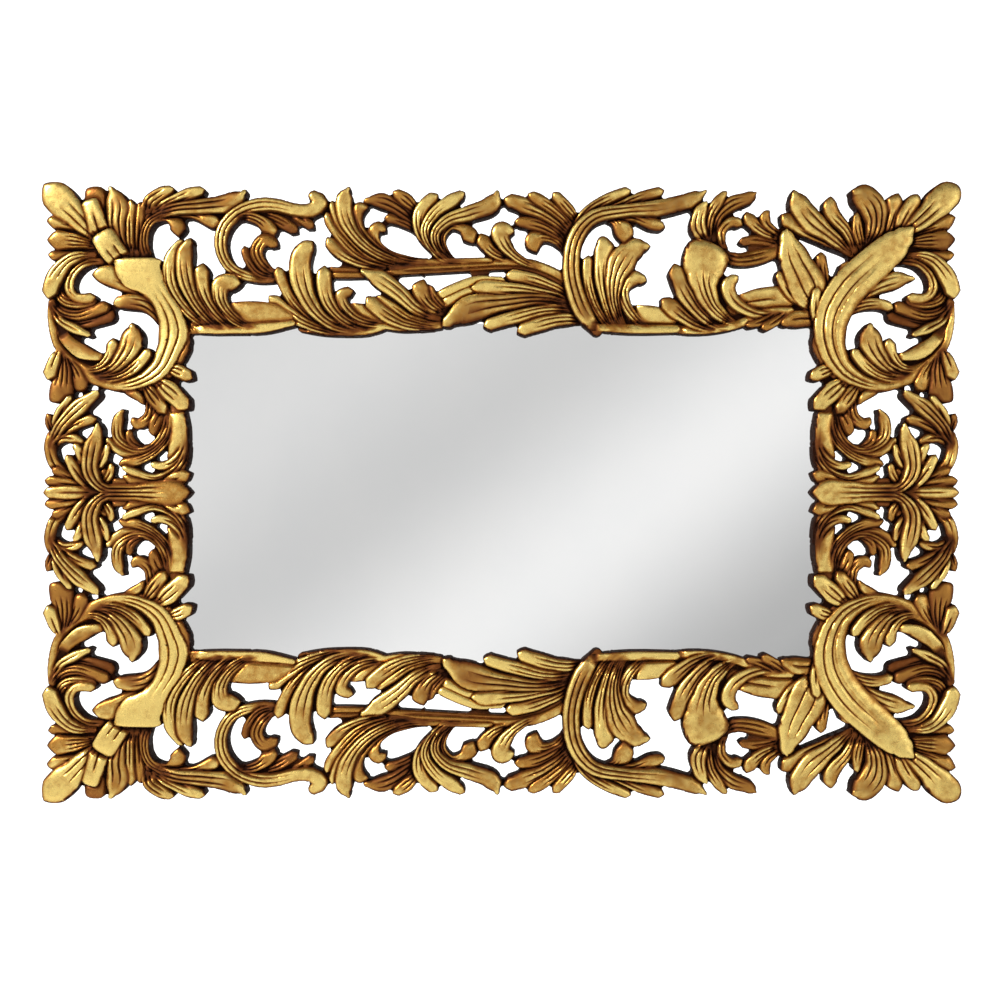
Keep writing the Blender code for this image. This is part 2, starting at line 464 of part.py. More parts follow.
def sawn_outline(x, z, gap, height):
    """Points of the carved face, its faces cut along the outline, and the outline's edges."""
    rows, columns = gap.shape
    inside = gap <= 0
    number = np.full(gap.shape, -1)
    number[inside] = np.arange(inside.sum())
    grid_x, grid_z = np.meshgrid(x, z)
    points = [np.column_stack([grid_x[inside], grid_z[inside], height[inside]])]
    count = len(points[0])
    sides = []
    for rise, run in ((0, 1), (1, 0)):
        low = (slice(0, rows - rise), slice(0, columns - run))
        high = (slice(rise, rows), slice(run, columns))
        cut = inside[low] != inside[high]
        share = np.clip(gap[low][cut] / (gap[low][cut] - gap[high][cut]), NEAREST_CUT, 1 - NEAREST_CUT)
        place_x = grid_x[low][cut] + share * (grid_x[high][cut] - grid_x[low][cut])
        place_z = grid_z[low][cut] + share * (grid_z[high][cut] - grid_z[low][cut])
        level = np.where(inside[low][cut], height[low][cut], height[high][cut])
        numbers = np.full(cut.shape, -1)
        numbers[cut] = count + np.arange(cut.sum())
        count += cut.sum()
        points.append(np.column_stack([place_x, place_z, level]))
        sides.append(numbers)
    along, up = sides
    slots = [number[i:rows - 1 + i, j:columns - 1 + j] for i, j in CORNER_STEPS]
    slots += [along[:-1], up[:, 1:], along[1:], up[:, :-1]]
    code = sum((inside[i:rows - 1 + i, j:columns - 1 + j] * 2 ** k) for k, (i, j) in enumerate(CORNER_STEPS))
    faces = []
    rims = []
    for pattern in range(1, 16):
        walk, cuts = cell_walk([bool(pattern >> k & 1) for k in range(4)])
        here = code == pattern
        faces.append(np.column_stack([slots[k][here] for k in walk]))
        rims += [np.column_stack([slots[a][here], slots[b][here]]) for a, b in cuts]
    return np.concatenate(points), faces, np.concatenate(rims)


def mesh_of(name, points, faces):
    """A mesh from points and arrays of faces, each array with its own number of corners."""
    mesh = bpy.data.meshes.new(name)
    corners = np.concatenate([block.ravel() for block in faces])
    totals = np.concatenate([np.full(len(block), block.shape[1]) for block in faces])
    mesh.vertices.add(len(points))
    mesh.vertices.foreach_set("co", np.ascontiguousarray(points, np.float32).ravel())
    mesh.loops.add(len(corners))
    mesh.loops.foreach_set("vertex_index", corners.astype(np.int32))
    mesh.polygons.add(len(totals))
    mesh.polygons.foreach_set("loop_start", (np.cumsum(totals) - totals).astype(np.int32))
    mesh.update(calc_edges=True)
    mesh.validate()
    return mesh


def material(name, colour, roughness, metallic):
    made = bpy.data.materials.new(name)
    made.use_nodes = True
    shader = made.node_tree.nodes["Principled BSDF"]
    shader.inputs["Base Color"].default_value = (*colour, 1.0)
    shader.inputs["Roughness"].default_value = roughness
    shader.inputs["Metallic"].default_value = metallic
    return made


def placed(mesh, name, finish=None, spot=(0, 0, 0), collection=None):
    made = bpy.data.objects.new(name, mesh)
    made.location = spot
    (collection or bpy.data.collections["wall_mirror"]).objects.link(made)
    if finish:
        made.data.materials.append(finish)
    return made


def block(name, size, middle, finish=None, collection=None):
    """A box with its sizes baked in and its origin at its middle."""
    mesh = bpy.data.meshes.new(name)
    shape = bmesh.new()
    bmesh.ops.create_cube(shape, size=1.0)
    bmesh.ops.scale(shape, vec=Vector(size), verts=shape.verts)
    shape.to_mesh(mesh)
    shape.free()
    return placed(mesh, name, finish, middle, collection)


def arc(centre, radius, start, end, steps):
    """Points along a round stretch, with its angles in degrees."""
    angles = [math.radians(start + (end - start) * i / steps) for i in range(steps + 1)]
    return [(centre[0] + radius * math.cos(a), centre[1] + radius * math.sin(a)) for a in angles]


def flat_shape(name, outline, near_y, far_y, finish=None, spot=(0, 0), collection=None):
    """A flat outline in x and z, drawn out between two depths."""
    mesh = bpy.data.meshes.new(name)
    shape = bmesh.new()
    face = shape.faces.new([shape.verts.new((x, near_y, z)) for x, z in outline])
    drawn = bmesh.ops.extrude_face_region(shape, geom=[face])
    moved = [item for item in drawn["geom"] if isinstance(item, bmesh.types.BMVert)]
    bmesh.ops.translate(shape, vec=(0, far_y - near_y, 0), verts=moved)
    bmesh.ops.recalc_face_normals(shape, faces=shape.faces)
    shape.to_mesh(mesh)
    shape.free()
    return placed(mesh, name, finish, (spot[0], 0, spot[1]), collection)


def turned(name, profile, spot, finish=None, collection=None):
    """A profile of radius and depth, turned about its own axis along Y."""
    mesh = bpy.data.meshes.new(name)
    shape = bmesh.new()
    row = [shape.verts.new((radius, y, 0)) for radius, y in profile]
    for first, second in zip(row, row[1:]):
        shape.edges.new((first, second))
    shape.to_mesh(mesh)
    shape.free()
    made = placed(mesh, name, finish, (spot[0], 0, spot[1]), collection)
    turn = made.modifiers.new("turned", "SCREW")
    turn.axis = "Y"
    turn.steps = CIRCLE_SIDES
    turn.render_steps = CIRCLE_SIDES
    turn.use_merge_vertices = True
    turn.merge_threshold = 0.00005
    return made


def cut(target, cutter):
    """Take a cutter out of a piece, and show the cutter as wire only."""
    cutter.hide_render = True
    cutter.display_type = "WIRE"
    modifier = target.modifiers.new(cutter.name, "BOOLEAN")
    modifier.operation = "DIFFERENCE"
    modifier.solver = "EXACT"
    modifier.object = cutter


def make_plainer(piece, share):
    """Keep this share of a piece's faces, where they tell most."""
    thin = piece.modifiers.new("plainer", "DECIMATE")
    thin.ratio = share
    thin.use_collapse_triangulate = True
    mesh = bpy.data.meshes.new_from_object(piece.evaluated_get(bpy.context.evaluated_depsgraph_get()))
    piece.modifiers.clear()
    piece.data = mesh


def make_true(mesh):
    """Bring the outline to the frame's exact width and height, about the middle."""
    places = np.empty(len(mesh.vertices) * 3, np.float32)
    mesh.vertices.foreach_get("co", places)
    places = places.reshape(-1, 3)
    for axis, length in ((0, FRAME_WIDTH), (2, FRAME_HEIGHT)):
        low, high = places[:, axis].min(), places[:, axis].max()
        places[:, axis] = (places[:, axis] - (low + high) / 2) * length / (high - low)
    mesh.vertices.foreach_set("co", places.ravel())
    mesh.update()


def carved_frame(finish, cutters):
    """The frame, one solid: carved face, sawn walls and flat back, then the rebate cut in from behind."""
    x, z, gap, height = whole_board()
    points, faces, rims = sawn_outline(x, z, gap, height)
    square = FRAME_WIDTH / (2 * HALF_WIDE)
    front = points[:, (0, 2, 1)] * (square, -1, square)
    back = front * (1, 0, 1)
    count = len(front)
    walls = np.column_stack([rims[:, 1], rims[:, 0], rims[:, 0] + count, rims[:, 1] + count])
    rear = [one[:, ::-1] + count for one in faces]
    mesh = mesh_of("carved_frame", np.concatenate([front, back]), faces + rear + [walls])
    frame = placed(mesh, "carved_frame", finish)
    triangles = sum(len(one) * (one.shape[1] - 2) for one in faces + rear) + 2 * len(walls)
    make_plainer(frame, SURFACE_TRIANGLES / triangles)
    make_true(frame.data)
    rebate = block(
        "rebate_cutter",
        (PANE_WIDTH + 2 * REBATE_CLEARANCE, REBATE_DEPTH + CUT_MARGIN, PANE_HEIGHT + 2 * REBATE_CLEARANCE),
        (0, (CUT_MARGIN - REBATE_DEPTH) / 2, 0),
        collection=cutters,
    )
    cut(frame, rebate)
    return frame


def pane(finish):
    """The mirror, against the front of the rebate."""
    front = FIT_GAP - REBATE_DEPTH
    return block(
        "mirror_glass",
        (PANE_WIDTH, GLASS_THICKNESS, PANE_HEIGHT),
        (0, front + GLASS_THICKNESS / 2, 0),
        finish,
    )


def backing(finish):
    """The board behind the mirror, flush with the back of the frame."""
    size = (PANE_WIDTH, BOARD_THICKNESS, PANE_HEIGHT)
    return block("backing_board", size, (0, -BOARD_THICKNESS / 2, 0), finish)


def plate_outline():
    """A rectangle with round corners, about its middle."""
    across = PLATE_LENGTH / 2 - PLATE_CORNER
    up = PLATE_HEIGHT / 2 - PLATE_CORNER
    outline = []
    for k, corner in enumerate(((across, up), (-across, up), (-across, -up), (across, -up))):
        outline += arc(corner, PLATE_CORNER, 90 * k, 90 * k + 90, 4)
    return outline


def keyhole_outline():
    """The round entry below and the slot that runs up from it, about the middle of the two."""
    low = (0, -KEYHOLE_RUN / 2)
    high = (0, KEYHOLE_RUN / 2)
    neck = math.degrees(math.asin(KEYHOLE_SLOT / KEYHOLE_HEAD))
    entry = arc(low, KEYHOLE_HEAD / 2, 90 + neck, 450 - neck, CIRCLE_SIDES)
    return entry + arc(high, KEYHOLE_SLOT / 2, 0, 180, CIRCLE_SIDES // 2)


def screw_profile(gap=0.0, above=0.0):
    """A countersunk screw as radius and depth, grown by a gap, and its head run on above the plate."""
    head = SCREW_HEAD / 2 + gap
    shank = SCREW_SHANK / 2 + gap
    tip = SCREW_LENGTH + gap
    slope = (SCREW_HEAD - SCREW_SHANK) / 2 / SCREW_CONE
    top = [(0.0, above), (head + slope * above, above)]
    return top + [(shank, -SCREW_CONE), (shank, shank - tip), (0.0, -tip)]


def hanger(side, frame, steel, cutters):
    """One keyhole plate with its two screws, and its recess in the frame."""
    tag = "left" if side < 0 else "right"
    middle = (side * (FRAME_WIDTH / 2 - PLATE_INSET), FRAME_HEIGHT / 2 - PLATE_DROP)
    plate = flat_shape(f"hanger_plate_{tag}", plate_outline(), -PLATE_THICKNESS, 0, steel, middle)
    recess = block(
        f"recess_{tag}_cutter",
        (PLATE_LENGTH + 2 * FIT_GAP, PLATE_THICKNESS + FIT_GAP + CUT_MARGIN, PLATE_HEIGHT + 2 * FIT_GAP),
        (middle[0], (CUT_MARGIN - PLATE_THICKNESS - FIT_GAP) / 2, middle[1]),
        collection=cutters,
    )
    cut(frame, recess)
    head_room = block(
        f"head_room_{tag}_cutter",
        (
            KEYHOLE_HEAD + 2 * HEAD_CLEARANCE,
            PLATE_THICKNESS + KEYHOLE_POCKET,
            KEYHOLE_HEAD + KEYHOLE_RUN + 2 * HEAD_CLEARANCE,
        ),
        (middle[0], -(PLATE_THICKNESS + KEYHOLE_POCKET) / 2, middle[1]),
        collection=cutters,
    )
    cut(frame, head_room)
    keyhole = flat_shape(
        f"keyhole_{tag}_cutter",
        keyhole_outline(),
        -PLATE_THICKNESS - CUT_MARGIN,
        CUT_MARGIN,
        spot=middle,
        collection=cutters,
    )
    cut(plate, keyhole)
    for number, end in enumerate((-1, 1), start=1):
        spot = (middle[0] + end * SCREW_SPACING / 2, middle[1])
        hole = turned(
            f"hole_{tag}_{number}_cutter", screw_profile(FIT_GAP, CUT_MARGIN / 4), spot, collection=cutters
        )
        cut(plate, hole)
        cut(frame, hole)
        turned(f"hanger_screw_{tag}_{number}", screw_profile(), spot, steel)


def main():
    for old in list(bpy.data.objects):
        bpy.data.objects.remove(old, do_unlink=True)
    for name in ("wall_mirror", "cutters"):
        bpy.context.scene.collection.children.link(bpy.data.collections.new(name))
    cutters = bpy.data.collections["cutters"]
    gilding = material("antique_gilding", (0.60, 0.38, 0.10), 0.36, 0.85)
    silvering = material("silvered_glass", (0.86, 0.87, 0.87), 0.03, 1.0)
    board = material("backing_fibreboard", (0.30, 0.20, 0.12), 0.75, 0.0)
    steel = material("zinc_plated_steel", (0.60, 0.60, 0.58), 0.35, 1.0)
    frame = carved_frame(gilding, cutters)
    pane(silvering)
    backing(board)
    for side in (-1, 1):
        hanger(side, frame, steel, cutters)


main()
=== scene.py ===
"""The looks of a landscape wall mirror in a pierced, carved and gilded frame.

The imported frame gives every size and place, in metres, with the front to -Y and the wall at y = 0.
The carved face is cut again here from the same pattern, finer than in the solids.
"""

import math

import bmesh
import bpy
import numpy as np
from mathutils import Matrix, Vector


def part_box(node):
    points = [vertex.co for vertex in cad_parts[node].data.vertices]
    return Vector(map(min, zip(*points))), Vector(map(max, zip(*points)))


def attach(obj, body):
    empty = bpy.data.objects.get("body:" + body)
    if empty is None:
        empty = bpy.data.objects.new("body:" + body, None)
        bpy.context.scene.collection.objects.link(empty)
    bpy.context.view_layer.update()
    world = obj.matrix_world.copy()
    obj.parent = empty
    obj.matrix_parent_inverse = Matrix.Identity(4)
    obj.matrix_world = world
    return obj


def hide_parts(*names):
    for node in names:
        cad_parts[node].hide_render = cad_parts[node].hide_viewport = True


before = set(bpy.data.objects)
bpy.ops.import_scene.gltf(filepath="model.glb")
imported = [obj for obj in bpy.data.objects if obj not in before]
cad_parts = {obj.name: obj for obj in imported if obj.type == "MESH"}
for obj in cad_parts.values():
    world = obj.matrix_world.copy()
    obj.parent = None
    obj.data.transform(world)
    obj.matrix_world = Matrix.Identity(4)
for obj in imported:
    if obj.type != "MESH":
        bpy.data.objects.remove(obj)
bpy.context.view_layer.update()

bl_info = {
    "name": "Carved Wall Mirror",
    "version": (1, 0, 0),
    "blender": (4, 5, 0),
    "location": "3D View > Sidebar > Mirror",
    "description": "Gilded carving, silvered pane and soft studio for a pierced wall mirror",
    "category": "Object",
}

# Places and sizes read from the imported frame.
FRAME_LOW, FRAME_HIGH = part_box("carved_frame")
PANE_LOW, PANE_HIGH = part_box("mirror_glass")
PLATES = [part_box(f"hanger_plate_{side}") for side in ("left", "right")]
FIT_GAP = 0.0003
PANE_ROOM = 0.001
BEHIND_BACK = 0.004

# The carver's pattern is drawn on squared paper, from the middle of the mirror.
# All places and widths in the pattern are in its squares.
HALF_WIDE = 464
HALF_HIGH = 316
LEAF_SPREAD = 1.09
LEAF_MARGIN = 1.0
WEB_REACH = 3.0
FAR_AWAY = 99.0
SPINE_POINTS = 30

# Heights in the pattern are in millimetres over the base, which fills what is left of the frame's depth.
RELIEF_UNIT = 0.001
GROUND_HEIGHT = 12.0
SET_IN = 3.4
SET_IN_REACH = 4.6
DOME_POWER = 4.2
ROOT_SHARE = 0.3
BARE_RISE = 0.5
TIP_POWER = 1.25
TIP_START = 0.93

# Veins and flutes of a leaf: depth in millimetres, width in squares, and where along the leaf they run.
VEIN_DEPTH = 2.5
VEIN_WIDTH = 1.3
VEIN_START = 0.06
VEIN_RISE = 0.08
VEIN_END = 0.84
VEIN_FADE = 0.2
VEIN_THIN = 0.4
FLUTE_HEIGHT = 0.5
FLUTE_TILT = 0.7
LEAN = 0.9
NARROW_LEAF = 5.5
WIDE_LEAF = 9.5

# Leaves are browner towards where they spring from, and each differs a little at random.
ROOT_BROWNING = 2.2
ROOT_BROWNING_REACH = 0.6
LONG_ROOT = 0.12
LEAF_TONE = 0.8


def leaf(edge, dome, *stations, root=ROOT_SHARE, tip=TIP_POWER, blunt=1.0, veins=None, shade_and_tone=0.0):
    """One leaf: the height of its edge, the rise of its crown in millimetres, and (x, z, width) stations.

    The edge may be a pair, at the root and at the tip. A low tip power makes a pointed tip and a high one a
    square tip, and blunt shortens it. Veins are a count, or places across from -1 to 1, or go by the width.
    More of the last setting browns the leaf as painted shade, and less brightens it as painted light.
    """
    shape = {"edge": edge, "dome": dome, "stations": stations, "root": root, "tip": tip, "blunt": blunt}
    return dict(shape, veins=veins, shade_and_tone=shade_and_tone)


# Leaves later in a list lie over earlier ones.
# The stile serves both sides, and all four lists serve top and bottom.
STILE = (
    # big C scroll band
    leaf((16, 17), 4, (-317, 166, 8), (-323, 146, 20), (-334, 129, 21), (-352, 115, 20), (-378, 109, 15),
         (-405, 116, 15), (-428, 128, 11), (-442, 146, 8), (-448, 165, 7), (-449, 192, 6),
         root=0.02, veins=0),
    # inner curls beside the scroll, browned with painted shade
    leaf(14, 4, (-449, 188, 5), (-440, 175, 8), (-425, 169, 9), (-405, 173, 11), (-393, 177, 12),
         tip=1.8, veins=1, shade_and_tone=1.5),
    leaf(15, 5, (-449, 195, 5), (-440, 182, 9), (-425, 178, 10), (-410, 182, 12), (-398, 186, 11),
         tip=1.8, veins=2, shade_and_tone=1.2),
    leaf(15, 5, (-445, 205, 5), (-437, 193, 9), (-425, 190, 10), (-411, 193, 10), tip=2),
    leaf(18, 5, (-447, 182, 4), (-440, 172, 7), (-428, 165, 9), (-412, 158, 5)),
    leaf(20, 2, (-441, 167, 6), (-434, 153, 10), (-420, 142, 13), (-400, 136, 7), veins=0),
    # leaf rising inside the scroll
    leaf(18, 4, (-415, 124, 5), (-400, 126, 8), (-391, 136, 11), (-388, 148, 12)),
    leaf(20, 5, (-405, 119, 5), (-388, 124, 10), (-376, 137, 17), (-369, 152, 21), (-368, 166, 7), veins=2),
    leaf(18, 4, (-400, 114, 5), (-380, 117, 8), (-366, 126, 10), (-354, 140, 9)),
    # side hanging leaf
    leaf(17, 4, (-396, 231, 5), (-415, 230, 7), (-428, 219, 8), (-432, 205, 9), (-426, 196, 8),
         (-410, 195, 9)),
    leaf(17, 3, (-408, 239, 4), (-430, 237, 8), (-448, 238, 9), veins=0),
    leaf(19, 5, (-408, 238, 5), (-430, 233, 11), (-445, 217, 15), (-451, 201, 13)),
    # hanging cluster at the outer edge
    leaf(16, 4, (-432, 132, 5), (-426, 120, 12), (-421, 109, 14), tip=1.9),
    leaf(16, 4, (-438, 140, 6), (-438, 118, 16), (-440, 102, 21), (-440, 96, 22),
         tip=3, blunt=2, veins=3, shade_and_tone=0.8),
    leaf(18, 5, (-441, 144, 5), (-447, 130, 11), (-451, 119, 12), veins=1),
    # leaves between scroll and window
    leaf(18, 4, (-333, 124, 6), (-322, 121, 12), (-314, 117, 12)),
    leaf(18, 3, (-380, 104, 5), (-368, 99, 8), (-357, 91, 6), veins=0),
    leaf(16, 4, (-355, 104, 6), (-351, 88, 9), (-353, 76, 10), (-363, 69, 10), (-367, 72, 7), veins=2),
    leaf(18, 4, (-357, 108, 6), (-347, 95, 14), (-339, 84, 11), veins=2),
    leaf(20, 4, (-345, 112, 8), (-331, 101, 17), (-318, 89, 15), veins=2),
    # stile scroll
    leaf(19, 3, (-324, 84, 13), (-324, 60, 19), (-324, 38, 17), (-331, 22, 10), root=0.1, veins=0),
    leaf(15, 3, (-340, 80, 8), (-346, 70, 10), (-348, 62, 9), veins=1),
    leaf(16, 5, (-335, 82, 6), (-336, 62, 9), (-348, 45, 10), (-370, 39, 11), (-384, 45, 10),
         (-392, 52, 7), veins=2),
    leaf(16, 5, (-350, 46, 6), (-368, 45, 8), (-383, 56, 10), (-383, 72, 10), (-378, 82, 3)),
    leaf(15, 3, (-360, 46, 4), (-370, 52, 7), (-372, 60, 6)),
    leaf(17, 4, (-330, 62, 4), (-338, 48, 6), (-353, 36, 7), (-377, 29, 10)),
    leaf(18, 4, (-316, 50, 6), (-324, 34, 9), (-337, 27, 8), (-347, 28, 6)),
    leaf(18, 5, (-315, 45, 5), (-322, 25, 9), (-345, 13, 10), (-365, 19, 9), (-376, 25, 5)),
    leaf(17, 4, (-322, 22, 5), (-345, 8, 8), (-365, 10, 9), (-375, 14, 8)),
    leaf(16, 3, (-392, 12, 5), (-378, 9, 8), veins=0),
    # left arc and its leaves
    leaf(17, 4, (-408, 0, 9), (-428, 10, 11), (-445, 26, 10), (-451, 45, 10), (-448, 60, 8), veins=1),
    leaf(16, 3, (-449, 60, 6), (-451, 70, 10), (-453, 76, 6)),
    leaf(17, 4, (-448, 45, 5), (-438, 54, 8), (-426, 53, 9), (-420, 49, 8)),
    leaf(17, 4, (-442, 56, 5), (-426, 67, 9), (-409, 73, 9)),
    leaf(19, 4, (-447, 60, 6), (-440, 78, 11), (-431, 94, 6), veins=1),
    leaf(20, 5, (-450, 48, 6), (-440, 66, 10), (-422, 85, 14), (-406, 97, 9), (-403, 101, 3), veins=2),
    leaf(18, 4, (-412, 5, 6), (-422, 15, 10), (-429, 27, 9)),
    leaf(16, 3, (-408, 10, 6), (-401, 17, 9), (-396, 20, 8), veins=1),
    leaf(17, 3, (-411, 22, 6), (-402, 31, 10), (-397, 36, 9), veins=1),
    leaf(19, 4, (-410, 8, 6), (-417, 27, 11), (-418, 42, 10), veins=2),
    leaf(17, 3, (-400, 8, 5), (-392, 18, 7), (-390, 26, 6)),
    # centre trunk and its fans
    leaf(16, 3, (-416, 8, 5), (-434, 16, 8), (-445, 22, 9), veins=1),
    leaf(17, 3, (-412, 4, 6), (-434, 8, 10), (-451, 11, 10), veins=1),
    leaf(17, 3, (-340, 6, 8), (-326, 13, 12), (-317, 17, 11), tip=1.2, veins=1, shade_and_tone=-1),
    leaf(18, 3, (-408, 0, 10), (-432, 0, 12), (-452, 0, 10), tip=1.2, veins=1, shade_and_tone=-1),
    leaf(18, 3, (-408, 0, 18), (-388, 0, 15), (-368, 0, 15), (-348, 0, 20), (-330, 0, 23), (-319, 0, 15),
         root=0.15, tip=1.2, veins=(-0.45, 0, 0.45), shade_and_tone=-0.6),
    leaf(18, 4, (-410, 4, 6), (-422, 18, 11), (-432, 34, 8), veins=1),
    leaf(19, 4, (-408, 18, 7), (-418, 36, 11), (-425, 46, 6), veins=1),
    leaf(18, 4, (-406, 22, 6), (-398, 36, 10), (-394, 46, 5), veins=1),
    leaf(20, 5, (-384, 2, 6), (-400, 6, 9), (-410, 22, 14), (-408, 44, 16), (-403, 60, 9), (-402, 68, 3),
         veins=2),
)
